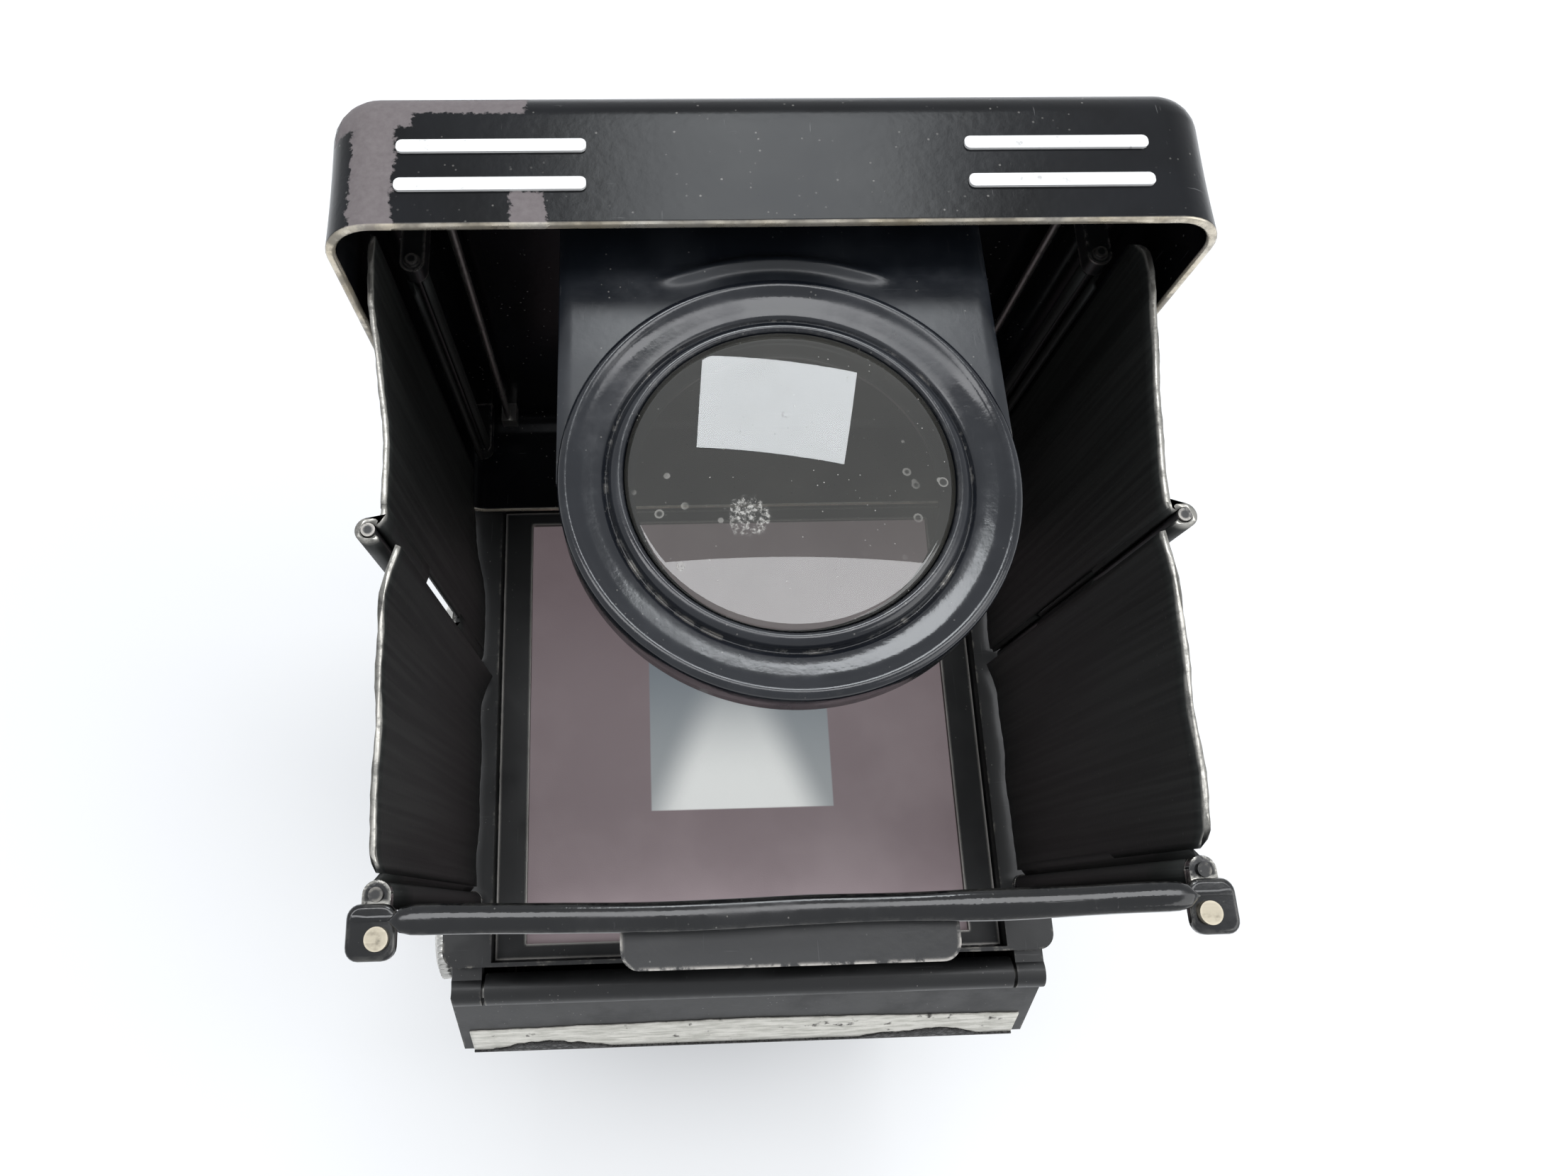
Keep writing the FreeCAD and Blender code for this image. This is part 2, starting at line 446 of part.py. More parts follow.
# ---- Leaves: two hinged plates a side, fold inward between the lid and the rear panel ----
mid_y = "(pin_b - pin_a)/2"
low_tab = ("leaf_low + 3", "leaf_low + 5")
high_tab = ("leaf_high - 9", "leaf_high - 7")
seg = ("leaf_low", "leaf_low + 17", "leaf_low + 34", "mid_high")
brackets = []
pins_front = []
pins_rear = []
for side, sign in (("left", 1), ("right", -1)):
    def xs(a, b):
        return (a, b) if sign == 1 else ("-(%s)" % b, "-(%s)" % a)

    def at(a):
        return a if sign == 1 else "-(%s)" % a

    axis_a = (at("leaf_x"), "-pin_a")
    axis_m = (at("leaf_x + knuckle_off"), mid_y)
    axis_b = (at("leaf_x"), "pin_b")
    face = at("leaf_x")
    front_outline = [("-pin_a + 1.6", "leaf_low"), (mid_y + " - 1.4", "leaf_low"),
                     (mid_y + " - 1.4", "mid_high"), ("-pin_a + 1.6", "leaf_high")]
    front_plate = prism(side + "_front_plate", "YZ_Plane", front_outline, "leaf_t", (face, "0", "0"))
    front_parts = [
        front_plate,
        rod(side + "_curl_a", "z", axis_a, "knuckle_r", ("leaf_low + 5.4", "leaf_high - 9.4")),
        box(side + "_join_a", xs("leaf_x - leaf_t/2", "leaf_x + leaf_t/2"), ("-pin_a", "-pin_a + 2"),
            ("leaf_low + 5.4", "leaf_high - 9.4")),
    ]
    for tag, z in (("low", (seg[0], seg[1] + " - 0.2")), ("high", (seg[2] + " + 0.2", seg[3]))):
        front_parts.append(rod("%s_curl_m_%s" % (side, tag), "z", axis_m, "knuckle_r", z))
        front_parts.append(box("%s_join_m_%s" % (side, tag), xs("leaf_x - leaf_t/2", "leaf_x + leaf_t/2"),
                               (mid_y + " - 2", mid_y), z))
    front_bores = [rod(side + "_bore_a", "z", axis_a, "bore_r", ("leaf_low", "leaf_high")),
                   rod(side + "_bore_m", "z", axis_m, "pin_r", ("leaf_low - 1", "leaf_high"))]
    node(side + "_front_leaf", cut(side + "_front_bored", fuse(side + "_front_solid", front_parts),
                                   front_bores))
    node(side + "_mid_pin", rod(side + "_mid_rod", "z", axis_m, "pin_r", ("leaf_low", "mid_high + 0.2")))

    rear_outline = [(mid_y + " + 1.4", "leaf_low"), ("pin_b - 1.6", "leaf_low"),
                    ("pin_b - 1.6", "end_high - 3.6"),
                    ("pin_b - 3.4", "end_high - 3.6"), ("pin_b - 3.4", "end_high"),
                    (mid_y + " + 1.4", "mid_high - 0.3")]
    rear_parts = [
        prism(side + "_rear_plate", "YZ_Plane", rear_outline, "leaf_t", (face, "0", "0")),
        rod(side + "_curl_b", "z", axis_b, "knuckle_r", ("leaf_low + 1.8", "end_high - 3.6")),
        box(side + "_join_b", xs("leaf_x - leaf_t/2", "leaf_x + leaf_t/2"), ("pin_b - 2", "pin_b"),
            ("leaf_low + 1.8", "end_high - 3.6")),
        rod(side + "_curl_mid", "z", axis_m, "knuckle_r", (seg[1] + " + 0.2", seg[2] + " - 0.2")),
        box(side + "_join_mid", xs("leaf_x - leaf_t/2", "leaf_x + leaf_t/2"), (mid_y, mid_y + " + 2"),
            (seg[1] + " + 0.2", seg[2] + " - 0.2")),
    ]
    rear_bores = [rod(side + "_bore_b", "z", axis_b, "bore_r", ("leaf_low", "end_high")),
                  rod(side + "_bore_mid", "z", axis_m, "bore_r", ("leaf_low", "end_high"))]
    node(side + "_rear_leaf", cut(side + "_rear_bored", fuse(side + "_rear_solid", rear_parts), rear_bores))

    for tag, z in (("low", low_tab), ("high", high_tab)):
        arm = box("%s_bracket_%s" % (side, tag), xs("leaf_x - 1.2", "leaf_x + 1.2"),
                  ("-lid_y + sheet_t", "-pin_a"), z)
        eye = rod("%s_eye_%s" % (side, tag), "z", axis_a, "1.2", z)
        brackets.append(cut("%s_lug_%s" % (side, tag), fuse("%s_lug_solid_%s" % (side, tag), [arm, eye]),
                            [rod("%s_eye_bore_%s" % (side, tag), "z", axis_a, "pin_r",
                                 ("lid_low", "lid_top"))]))
    pins_front.append(rod(side + "_pin_a", "z", axis_a, "pin_r", ("leaf_low + 2.6", "leaf_high - 6.6")))
    pins_rear.append(rod(side + "_pin_b", "z", axis_b, "pin_r", ("leaf_low + 0.2", "end_high - 2")))
node("front_hinge_brackets", fuse("brackets_group", brackets))
node("front_hinge_pins", fuse("pins_front_group", pins_front))
node("rear_hinge_pins", fuse("pins_rear_group", pins_rear))

# ---- Rear panel with folded lip, pin tabs, corner lugs and a finger tab ----
panel_parts = [
    box("panel_sheet", ("-panel_w/2", "panel_w/2"), ("panel_y", "panel_y + leaf_t"),
        ("leaf_low", "panel_top")),
    box("panel_lip", ("-32.6", "32.6"), ("panel_y - 1.2", "panel_y + leaf_t + 0.4"),
        ("panel_top - 0.9", "panel_top")),
]
panel_cuts = []
rivets = []
for side, sign in (("l", 1), ("r", -1)):
    def xp(a, b):
        return (a, b) if sign == 1 else ("-(%s)" % b, "-(%s)" % a)

    def ap(a):
        return a if sign == 1 else "-(%s)" % a

    for tag, z in (("low", ("leaf_low + 0.4", "leaf_low + 1.4")),
                   ("high", ("end_high - 3.3", "end_high - 2.3"))):
        panel_parts.append(box("panel_tab_%s%s" % (side, tag), xp("leaf_x - 1.2", "leaf_x + 1.2"),
                               ("pin_b", "panel_y + 0.3"), z))
        panel_parts.append(rod("panel_eye_%s%s" % (side, tag), "z", (ap("leaf_x"), "pin_b"), "1.2", z))
    panel_cuts.append(rod("panel_bore_" + side, "z", (ap("leaf_x"), "pin_b"), "pin_r",
                          ("leaf_low - 1", "end_high - 2")))
    panel_parts.append(slab("panel_lug_" + side, "z", xp("leaf_x - 1.9", "leaf_x + 2.3"),
                            ("pin_b - 1.2", "panel_y + 3.6"), ("panel_top - 2.6", "panel_top - 1.6"), "1"))
    panel_cuts.append(rod("panel_rivet_hole_" + side, "z", (ap("leaf_x - 0.4"), "panel_y + 1.9"), "0.6",
                          ("panel_top - 3", "panel_top - 1")))
    rivets.append(rod("rivet_shank_" + side, "z", (ap("leaf_x - 0.4"), "panel_y + 1.9"), "0.6",
                      ("panel_top - 3.2", "panel_top - 1.6")))
    rivets.append(rod("rivet_head_" + side, "z", (ap("leaf_x - 0.4"), "panel_y + 1.9"), "0.95",
                      ("panel_top - 1.6", "panel_top - 1.1")))
node("rear_panel", cut("panel", fuse("panel_solid", panel_parts), panel_cuts))
node("corner_rivets", fuse("rivets_group", rivets))
tab_flat = slab("tab_flat", "z", ("-13.4", "14.4"), ("panel_y + leaf_t", "panel_y + 5"),
                ("panel_top - 3.6", "panel_top - 2.8"), "1.6")
tab_foot = box("tab_foot", ("-13.4", "14.4"), ("panel_y + leaf_t", "panel_y + leaf_t + 0.8"),
               ("panel_top - 12", "panel_top - 2.8"))
node("rear_tab", fuse("tab", [tab_flat, tab_foot]))

# ---- Magnifier: a plate hinged inside the lid carrying a turned ring and its glass ----
mag_turn = FreeCAD.Rotation(FreeCAD.Vector(1, 0, 0), known["mag_tilt"])
mag_plate = box("mag_sheet", ("-mag_w/2", "mag_w/2"), ("0.4", "mag_reach"), ("-0.5", "0.5"))
mag_hole = rod("mag_hole", "z", ("0", "mag_reach"), "mag_r", ("-3", "3"))
mag_curls = []
for i, span in enumerate((("-mag_w/2", "-8"), ("8", "mag_w/2"))):
    mag_curls.append(rod("mag_curl_%d" % i, "x", ("0", "0"), "1.4", span))
plate_set = cut("mag_plate_cut", fuse("mag_plate_solid", [mag_plate] + mag_curls), [
    mag_hole,
    rod("mag_pin_bore", "x", ("0", "0"), "0.7", ("-30", "30")),
    box("mag_notch", ("-7.6", "7.6"), ("-3", "2"), ("-3", "3")),
])
plate_holder = hold("mag_plate_holder", plate_set)
ring_points = [("mag_lens_r - 0.5", "-1.6"), ("mag_r - 2", "-1.6"), ("mag_r - 1", "-2.4"),
               ("mag_r", "-2.4"),
               ("mag_r", "1.2"), ("mag_r - 0.4", "1.7"), ("mag_r - 1", "1.7"), ("mag_r - 1.3", "1.2"),
               ("mag_r - 1.3", "0.6"), ("mag_lens_r + 2.6", "0.4"), ("mag_lens_r + 2.2", "1.0"),
               ("mag_lens_r + 1.3", "1.0"), ("mag_lens_r + 1.0", "1.9"), ("mag_lens_r + 0.2", "1.9"),
               ("mag_lens_r", "1.4"), ("mag_lens_r", "-0.9"), ("mag_lens_r - 0.5", "-0.9")]
ring = turned("mag_ring_body", ring_points)
ring_holder = hold("mag_ring_holder", ring)
glass_low = ball("mag_sphere_low", ("0", "0", "119"), "120")
glass_high = ball("mag_sphere_high", ("0", "0", "-118.2"), "120")
glass_rod = rod("mag_glass_rod", "z", ("0", "0"), "mag_lens_r", ("-0.9", "1.9"))
lens_holder = hold("mag_lens_holder", common("mag_glass", [glass_low, glass_high, glass_rod]))
for label, obj, reach in (("magnifier_plate", plate_holder, 0), ("magnifier_ring", ring_holder, 1),
                          ("magnifier_lens", lens_holder, 1)):
    obj.Placement = FreeCAD.Placement(FreeCAD.Vector(), mag_turn)
    if reach:
        seat(obj, "0", "-mag_y + mag_reach * cos(mag_tilt)", "mag_z + mag_reach * sin(mag_tilt)")
    else:
        seat(obj, "0", "-mag_y", "mag_z")
    node(label, obj)
for obj in nodes[-3:]:
    bind(obj, "Placement.Rotation.Angle", "mag_tilt")
mag_ear = box("mag_ear", ("-7", "7"), ("-lid_y + sheet_t", "-mag_y"), ("mag_z - 1.2", "mag_z + 1.2"))
mag_eye = rod("mag_eye", "x", ("-mag_y", "mag_z"), "1.2", ("-7", "7"))
mag_eye_bore = rod("mag_eye_bore", "x", ("-mag_y", "mag_z"), "0.6", ("-8", "8"))
node("magnifier_bracket", cut("mag_bracket", fuse("mag_bracket_solid", [mag_ear, mag_eye]), [mag_eye_bore]))
node("magnifier_hinge_pin", rod("mag_pin", "x", ("-mag_y", "mag_z"), "0.6",
                                ("-mag_w/2 - 0.4", "mag_w/2 + 0.4")))

# ---- Lens standard: front panel that runs out on the raised box of the body ----
std_plate = slab("std_plate", "y", ("-std_w/2", "std_w/2"), ("std_low", "std_high"),
                 ("-std_y - std_t", "-std_y"), "4")
std_skirt = cut("std_skirt", slab("std_skirt_out", "y", ("-std_w/2", "std_w/2"), ("std_low", "std_high"),
                                  ("-std_y", "-body_front - 0.6"), "4"),
                [box("std_skirt_in", ("-std_w/2 + skirt_t", "std_w/2 - skirt_t"), ("-std_y", "-body_front"),
                     ("std_low + skirt_t", "std_high - skirt_t"))])
std_holes = [
    rod("std_view", "y", ("0", "view_z"), "view_r - 2", ("-std_y - 3", "-std_y + 1")),
    rod("std_take", "y", ("0", "take_z"), "take_r - 2", ("-std_y - 3", "-std_y + 1")),
    rod("std_release", "y", ("-25", "20"), "1.7", ("-std_y - 3", "-std_y + 1")),
]
node("lens_standard", cut("standard", fuse("std_solid", [std_plate, std_skirt]), std_holes))
std_face = "-std_y - std_t"
view_outer = [rod("view_tube", "y", ("0", "view_z"), "view_r", (std_face + " - barrel_len", std_face)),
              rod("view_ring", "y", ("0", "view_z"), "view_r + 1.5", (std_face + " - 3", std_face)),
              rod("view_lip", "y", ("0", "view_z"), "view_r + 1",
                  (std_face + " - barrel_len", std_face + " - barrel_len + 2.5")),
              rod("view_neck", "y", ("0", "view_z"), "view_r - 2", (std_face, "-std_y + 5"))]
node("viewing_barrel", cut("view_barrel", fuse("view_solid", view_outer), [
    rod("view_bore", "y", ("0", "view_z"), "glass_r", (std_face + " - barrel_len - 1", "-std_y + 6"))]))
node("viewing_glass", common("view_glass", [
    rod("view_glass_rod", "y", ("0", "view_z"), "glass_r",
        (std_face + " - barrel_len + 1.5", std_face + " - 2")),
    ball("view_glass_front", ("0", std_face + " - barrel_len + 1.5 + 26", "view_z"), "26"),
    ball("view_glass_back", ("0", std_face + " - 2 - 40", "view_z"), "40")]))
node("shutter_housing", cut("shutter",
                            rod("shutter_disc", "y", ("0", "take_z"), "shutter_r",
                                (std_face + " - shutter_t", std_face)),
                            [rod("shutter_bore", "y", ("0", "take_z"), "take_r - 2",
                                 (std_face + " - shutter_t - 1", std_face + " + 1"))]))
take_outer = [rod("take_tube", "y", ("0", "take_z"), "take_r",
                  (std_face + " - barrel_len", std_face + " - shutter_t")),
              rod("take_lip", "y", ("0", "take_z"), "take_r + 1",
                  (std_face + " - barrel_len", std_face + " - barrel_len + 2")),
              rod("take_neck", "y", ("0", "take_z"), "take_r - 2",
                  (std_face + " - shutter_t", "-std_y + 9"))]
node("taking_barrel", cut("take_barrel", fuse("take_solid", take_outer), [
    rod("take_bore", "y", ("0", "take_z"), "glass_r - 2",
        (std_face + " - barrel_len - 1", "-std_y + 10"))]))
node("taking_glass", hold(
    "take_glass",
    common("take_glass_front", [
        rod("take_front_rod", "y", ("0", "take_z"), "glass_r - 2",
            (std_face + " - barrel_len + 2", std_face + " - 4")),
        ball("take_front_ball", ("0", std_face + " - barrel_len + 2 + 22", "take_z"), "22"),
        ball("take_back_ball", ("0", std_face + " - 4 - 30", "take_z"), "30")]),
    common("take_glass_rear", [
        rod("take_rear_rod", "y", ("0", "take_z"), "glass_r - 2", ("-std_y + 3", "-std_y + 8")),
        ball("take_rear_ball", ("0", "-std_y + 8 - 24", "take_z"), "24")])))
iris = rod("iris_disc", "y", ("0", "take_z"), "glass_r - 2", (std_face + " - 1.4", std_face + " - 0.8"))
node("iris_blades", cut("iris", iris,
                        [rod("iris_hole", "y", ("0", "take_z"), "3.5",
                             (std_face + " - 3", std_face + " + 1"))]))


def control_ring(label, inner, outer, y, arm_x, arm_z):
    ring_out = rod(label + "_rim", "y", ("0", "take_z"), outer, y)
    arm = box(label + "_arm", arm_x, y, arm_z)
    bore = rod(label + "_bore", "y", ("0", "take_z"), inner, (y[0] + " - 1", y[1] + " + 1"))
    node(label, cut(label + "_ring", fuse(label + "_solid", [ring_out, arm]), [bore]))


control_ring("aperture_ring", "shutter_r + 0.08", "shutter_r + 1.2",
             (std_face + " - 2.2", std_face + " - 0.7"),
             ("shutter_r", "shutter_r + 6"), ("take_z - 2", "take_z + 2"))
control_ring("speed_ring", "shutter_r + 0.08", "shutter_r + 1.2",
             (std_face + " - 4.6", std_face + " - 3.1"),
             ("-shutter_r - 6", "-shutter_r"), ("take_z - 2", "take_z + 2"))
control_ring("cocking_lever", "take_r + 0.08", "take_r + 1.5",
             (std_face + " - shutter_t - 1.6", std_face + " - shutter_t - 0.4"),
             ("-1.6", "1.6"), ("take_z - shutter_r - 4", "take_z - take_r"))
node("shutter_release", fuse("release", [
    rod("release_head", "y", ("-25", "20"), "2.8", (std_face + " - 4.4", std_face + " - 2.4")),
    rod("release_stem", "y", ("-25", "20"), "1.6", (std_face + " - 2.4", std_face + " + 1"))]))
node("sync_socket", cut("sync", rod("sync_post", "y", ("25", "20"), "2.4", (std_face + " - 3", std_face)),
                        [rod("sync_bore", "y", ("25", "20"), "1.2",
                             (std_face + " - 4", std_face + " - 1"))]))
screws = [rod("screw_%d" % i, "y", (x, z), "1.5", (std_face + " - 0.5", std_face))
          for i, (x, z) in enumerate([("27", "std_high - 5"), ("-27", "std_high - 5"),
                                      ("28", "std_high - 34"), ("-28", "std_high - 34")])]
node("front_screws", fuse("screws_group", screws))

# ---- Focus knob on the left side and winding crank on the right side ----
node("focus_knob", fuse("focus", [
    rod("focus_shaft", "x", ("-focus_y", "focus_z"), "shaft_r", ("25", "body_w/2 + 2")),
    rod("focus_pinion", "x", ("-focus_y", "focus_z"), "4.5", ("26", "33")),
    rod("focus_collar", "x", ("-focus_y", "focus_z"), "4.5", ("body_w/2 + 1", "body_w/2 + 2")),
    rod("focus_dial", "x", ("-focus_y", "focus_z"), "focus_r", ("body_w/2 + 2", "body_w/2 + 5")),
    rod("focus_grip", "x", ("-focus_y", "focus_z"), "focus_r - 2", ("body_w/2 + 5", "body_w/2 + 12"))]))
node("winding_crank", cut("crank", fuse("crank_solid", [
    rod("crank_shaft", "x", ("take_y", "take_up_z"), "key_r", ("-body_w/2 - 2", "-reel_w/2 + 4")),
    rod("crank_hub", "x", ("take_y", "take_up_z"), "8", ("-body_w/2 - 4", "-body_w/2 - 0.9")),
    box("crank_arm", ("-body_w/2 - 6", "-body_w/2 - 4"), ("take_y - crank_len", "take_y"),
        ("take_up_z - 4.5", "take_up_z + 4.5")),
    rod("crank_end", "x", ("take_y - crank_len", "take_up_z"), "4.5", ("-body_w/2 - 6", "-body_w/2 - 4")),
    rod("crank_boss", "x", ("take_y", "take_up_z"), "4.5", ("-body_w/2 - 7", "-body_w/2 - 4"))]),
    [rod("crank_bore", "x", ("take_y - crank_len", "take_up_z"), "1.58",
         ("-body_w/2 - 8", "-body_w/2 - 3"))]))
node("crank_handle", fuse("handle", [
    rod("handle_grip", "x", ("take_y - crank_len", "take_up_z"), "4",
        ("-body_w/2 - 16", "-body_w/2 - 6.4")),
    rod("handle_pin", "x", ("take_y - crank_len", "take_up_z"), "1.5",
        ("-body_w/2 - 6.4", "-body_w/2 - 3.6")),
    rod("handle_head", "x", ("take_y - crank_len", "take_up_z"), "2.4",
        ("-body_w/2 - 3.7", "-body_w/2 - 3.2"))]))

doc.recompute()
os.makedirs("parts", exist_ok=True)
for item in doc.Objects:
    if "Invalid" in item.State or "Error" in item.State:
        raise RuntimeError("%s is in state %s" % (item.Name, item.State))
for item in nodes:
    shape = item.Shape
    if shape.isNull() or not shape.isValid():
        raise RuntimeError("%s has no valid shape" % item.Label)
    shape.exportStep("parts/%s.step" % item.Label)
    low = shape.BoundBox
    print("%-22s solids %d  x %7.2f %7.2f  y %7.2f %7.2f  z %7.2f %7.2f  volume %10.1f" % (
        item.Label, len(shape.Solids), low.XMin, low.XMax, low.YMin, low.YMax, low.ZMin,
        low.ZMax, shape.Volume))
print(len(nodes), "pieces")
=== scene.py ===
import bpy
import bmesh
import math
from mathutils import Matrix, Vector, noise


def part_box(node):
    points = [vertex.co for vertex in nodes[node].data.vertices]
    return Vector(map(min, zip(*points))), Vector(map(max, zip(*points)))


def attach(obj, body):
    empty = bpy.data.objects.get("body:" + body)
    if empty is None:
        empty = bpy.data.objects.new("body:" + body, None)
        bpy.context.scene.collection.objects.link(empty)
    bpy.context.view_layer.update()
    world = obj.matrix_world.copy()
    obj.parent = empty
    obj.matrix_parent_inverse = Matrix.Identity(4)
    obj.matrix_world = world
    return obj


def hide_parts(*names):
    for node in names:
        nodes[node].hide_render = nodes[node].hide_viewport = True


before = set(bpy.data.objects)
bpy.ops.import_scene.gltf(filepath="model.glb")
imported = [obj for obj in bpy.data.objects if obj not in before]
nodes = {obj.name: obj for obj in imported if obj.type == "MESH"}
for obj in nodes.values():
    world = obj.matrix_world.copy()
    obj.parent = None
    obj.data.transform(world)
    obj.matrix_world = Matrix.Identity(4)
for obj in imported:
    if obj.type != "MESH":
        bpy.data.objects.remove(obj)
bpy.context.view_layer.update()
scene = bpy.context.scene


def span(node_name):
    """A node's box in millimetres, as two corner vectors."""
    low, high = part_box(node_name)
    return Vector(low) * 1000, Vector(high) * 1000


# ---------------- materials
class Mat:
    """A small wrapper that builds one node material step by step."""

    def __init__(self, name):
        self.mat = bpy.data.materials.new(name)
        self.mat.use_nodes = True
        self.tree = self.mat.node_tree
        self.tree.nodes.clear()
        self.out = self.tree.nodes.new("ShaderNodeOutputMaterial")
        self.shader = self.tree.nodes.new("ShaderNodeBsdfPrincipled")
        self.tree.links.new(self.shader.outputs[0], self.out.inputs[0])
        self.coord = self.tree.nodes.new("ShaderNodeTexCoord").outputs["Object"]

    def node(self, kind, **values):
        made = self.tree.nodes.new(kind)
        for key, value in values.items():
            setattr(made, key, value)
        return made

    def link(self, a, b):
        self.tree.links.new(a, b)

    def put(self, socket, value):
        """Sets a socket to a number, a colour or another node's output."""
        if isinstance(value, bpy.types.NodeSocket):
            self.link(value, socket)
        elif isinstance(value, (tuple, list)) and len(value) == 3 and socket.type == "RGBA":
            socket.default_value = (*value, 1)
        else:
            socket.default_value = value

    def at(self, scale=(1, 1, 1), offset=(0, 0, 0)):
        """Object coordinates in millimetres, stretched by scale."""
        made = self.node("ShaderNodeMapping")
        self.link(self.coord, made.inputs[0])
        made.inputs["Scale"].default_value = [1000 * s for s in scale]
        made.inputs["Location"].default_value = offset
        return made.outputs[0]

    def noise(self, scale, detail=4, rough=0.55, where=None, distort=0.0):
        made = self.node("ShaderNodeTexNoise")
        self.link(where or self.at(), made.inputs["Vector"])
        made.inputs["Scale"].default_value = scale
        made.inputs["Detail"].default_value = detail
        made.inputs["Roughness"].default_value = rough
        made.inputs["Distortion"].default_value = distort
        return made.outputs[0]

    def cells(self, scale, feature="F1", where=None, randomness=1.0):
        made = self.node("ShaderNodeTexVoronoi", feature=feature)
        self.link(where or self.at(), made.inputs["Vector"])
        made.inputs["Scale"].default_value = scale
        made.inputs["Randomness"].default_value = randomness
        return made.outputs[0]

    def ramp(self, value, low, high, a=0.0, b=1.0):
        """Eases from a to b while the value goes from low to high."""
        made = self.node("ShaderNodeMapRange", clamp=True, interpolation_type="SMOOTHSTEP")
        self.put(made.inputs["Value"], value)
        made.inputs["From Min"].default_value = low
        made.inputs["From Max"].default_value = high
        made.inputs["To Min"].default_value = a
        made.inputs["To Max"].default_value = b
        return made.outputs[0]

    def maths(self, kind, a, b=0.0):
        """One arithmetic step between two values or outputs."""
        made = self.node("ShaderNodeMath", operation=kind, use_clamp=False)
        self.put(made.inputs[0], a)
        self.put(made.inputs[1], b)
        return made.outputs[0]

    def mix(self, amount, a, b):
        made = self.node("ShaderNodeMix", data_type="RGBA", clamp_factor=True)
        self.put(made.inputs[0], amount)
        self.put(made.inputs[6], a)
        self.put(made.inputs[7], b)
        return made.outputs[2]

    def axis(self, which):
        """One object coordinate in millimetres: 0 across, 1 to the rear, 2 up."""
        made = self.node("ShaderNodeSeparateXYZ")
        self.link(self.at(), made.inputs[0])
        return made.outputs[which]

    def normal_z(self, which=2):
        made = self.node("ShaderNodeNewGeometry")
        split = self.node("ShaderNodeSeparateXYZ")
        self.link(made.outputs["Normal"], split.inputs[0])
        return split.outputs[which]

    def edge(self, radius=0.0006, low=0.02, high=0.12):
        """1 on sharp outer edges, 0 on flats: the difference between the rounded and the true normal."""
        bevel = self.node("ShaderNodeBevel", samples=6)
        bevel.inputs["Radius"].default_value = radius
        true = self.node("ShaderNodeNewGeometry")
        dot = self.node("ShaderNodeVectorMath", operation="DOT_PRODUCT")
        self.link(bevel.outputs[0], dot.inputs[0])
        self.link(true.outputs["Normal"], dot.inputs[1])
        return self.ramp(self.maths("SUBTRACT", 1.0, dot.outputs["Value"]), low, high)

    def bump(self, height, distance, strength=1.0):
        made = self.node("ShaderNodeBump")
        self.put(made.inputs["Height"], height)
        made.inputs["Distance"].default_value = distance
        made.inputs["Strength"].default_value = strength
        self.link(made.outputs[0], self.shader.inputs["Normal"])
        return made.outputs[0]

    def set(self, **values):
        """Sets inputs of the surface shader by short names."""
        names = {"color": "Base Color", "metal": "Metallic", "rough": "Roughness", "coat": "Coat Weight",
                 "coat_rough": "Coat Roughness", "ior": "IOR", "trans": "Transmission Weight",
                 "spec": "Specular IOR Level"}
        for key, value in values.items():
            self.put(self.shader.inputs[names[key]], value)
        return self


def enamel(name, colour, rough, bare=(0.42, 0.40, 0.37), wear=0.5, dust=0.35, scratch=0.5):
    """Black stove enamel: fine scratches, dust specks and metal showing on the sharp edges."""
    m = Mat(name)
    edge = m.edge()
    broken = m.ramp(m.noise(0.55, 6, 0.7), 0.62 - wear * 0.4, 0.75 - wear * 0.4)
    worn = m.maths("MULTIPLY", edge, broken)
    cloudy = m.ramp(m.noise(0.12, 5, 0.6), 0.35, 0.75)
    lines = m.noise(1.0, 3, 0.7, m.at((2.2, 0.09, 2.2)))
    hair = m.ramp(lines, 0.66, 0.72)
    lines_b = m.noise(1.0, 3, 0.7, m.at((0.08, 2.0, 1.4), (3, 9, 1)))
    hair = m.maths("MULTIPLY", m.maths("MAXIMUM", hair, m.ramp(lines_b, 0.67, 0.73)), scratch)
    specks = m.maths("MULTIPLY", m.ramp(m.cells(1.3), 0.13, 0.05), m.ramp(m.noise(0.3), 0.5, 0.62))
    specks = m.maths("MULTIPLY", specks, dust)
    base = m.mix(m.maths("MULTIPLY", cloudy, 0.35), colour, tuple(min(1, c * 2.2 + 0.012) for c in colour))
    base = m.mix(m.maths("MULTIPLY", hair, 0.35), base, (0.12, 0.12, 0.125))
    base = m.mix(specks, base, (0.30, 0.29, 0.27))
    base = m.mix(worn, base, bare)
    m.set(color=base, metal=m.maths("MULTIPLY", worn, 0.9), coat=0.15, coat_rough=0.2,
          rough=m.ramp(cloudy, 0, 1, rough - 0.06, rough + 0.12))
    orange_peel = m.maths("MULTIPLY", m.noise(1.2, 3), 0.6)
    m.bump(m.maths("ADD", orange_peel, m.maths("MULTIPLY", hair, -0.3)), 0.00004, 0.6)
    return m.mat


def plated(name, colour, rough=0.28, stain=0.35):
    """Nickel or steel: brushed, a little stained, with a painted highlight that brightens the edges."""
    m = Mat(name)
    spots = m.ramp(m.noise(0.5, 6, 0.65), 0.5, 0.72)
    brush = m.noise(1.0, 2, 0.5, m.at((0.15, 4, 4)))
    base = m.mix(m.maths("MULTIPLY", spots, stain), colour, tuple(c * 0.35 for c in colour))
    # Painted highlight: the colour is brighter on the sharp edges.
    base = m.mix(m.maths("MULTIPLY", m.edge(0.0004), 0.6), base, tuple(min(1, c * 1.35) for c in colour))
    m.set(color=base, metal=0.95, rough=m.maths("ADD", m.ramp(brush, 0.3, 0.7, rough - 0.06, rough + 0.08),
                                                  m.maths("MULTIPLY", spots, 0.2)))
    m.bump(brush, 0.00002, 0.4)
    return m.mat


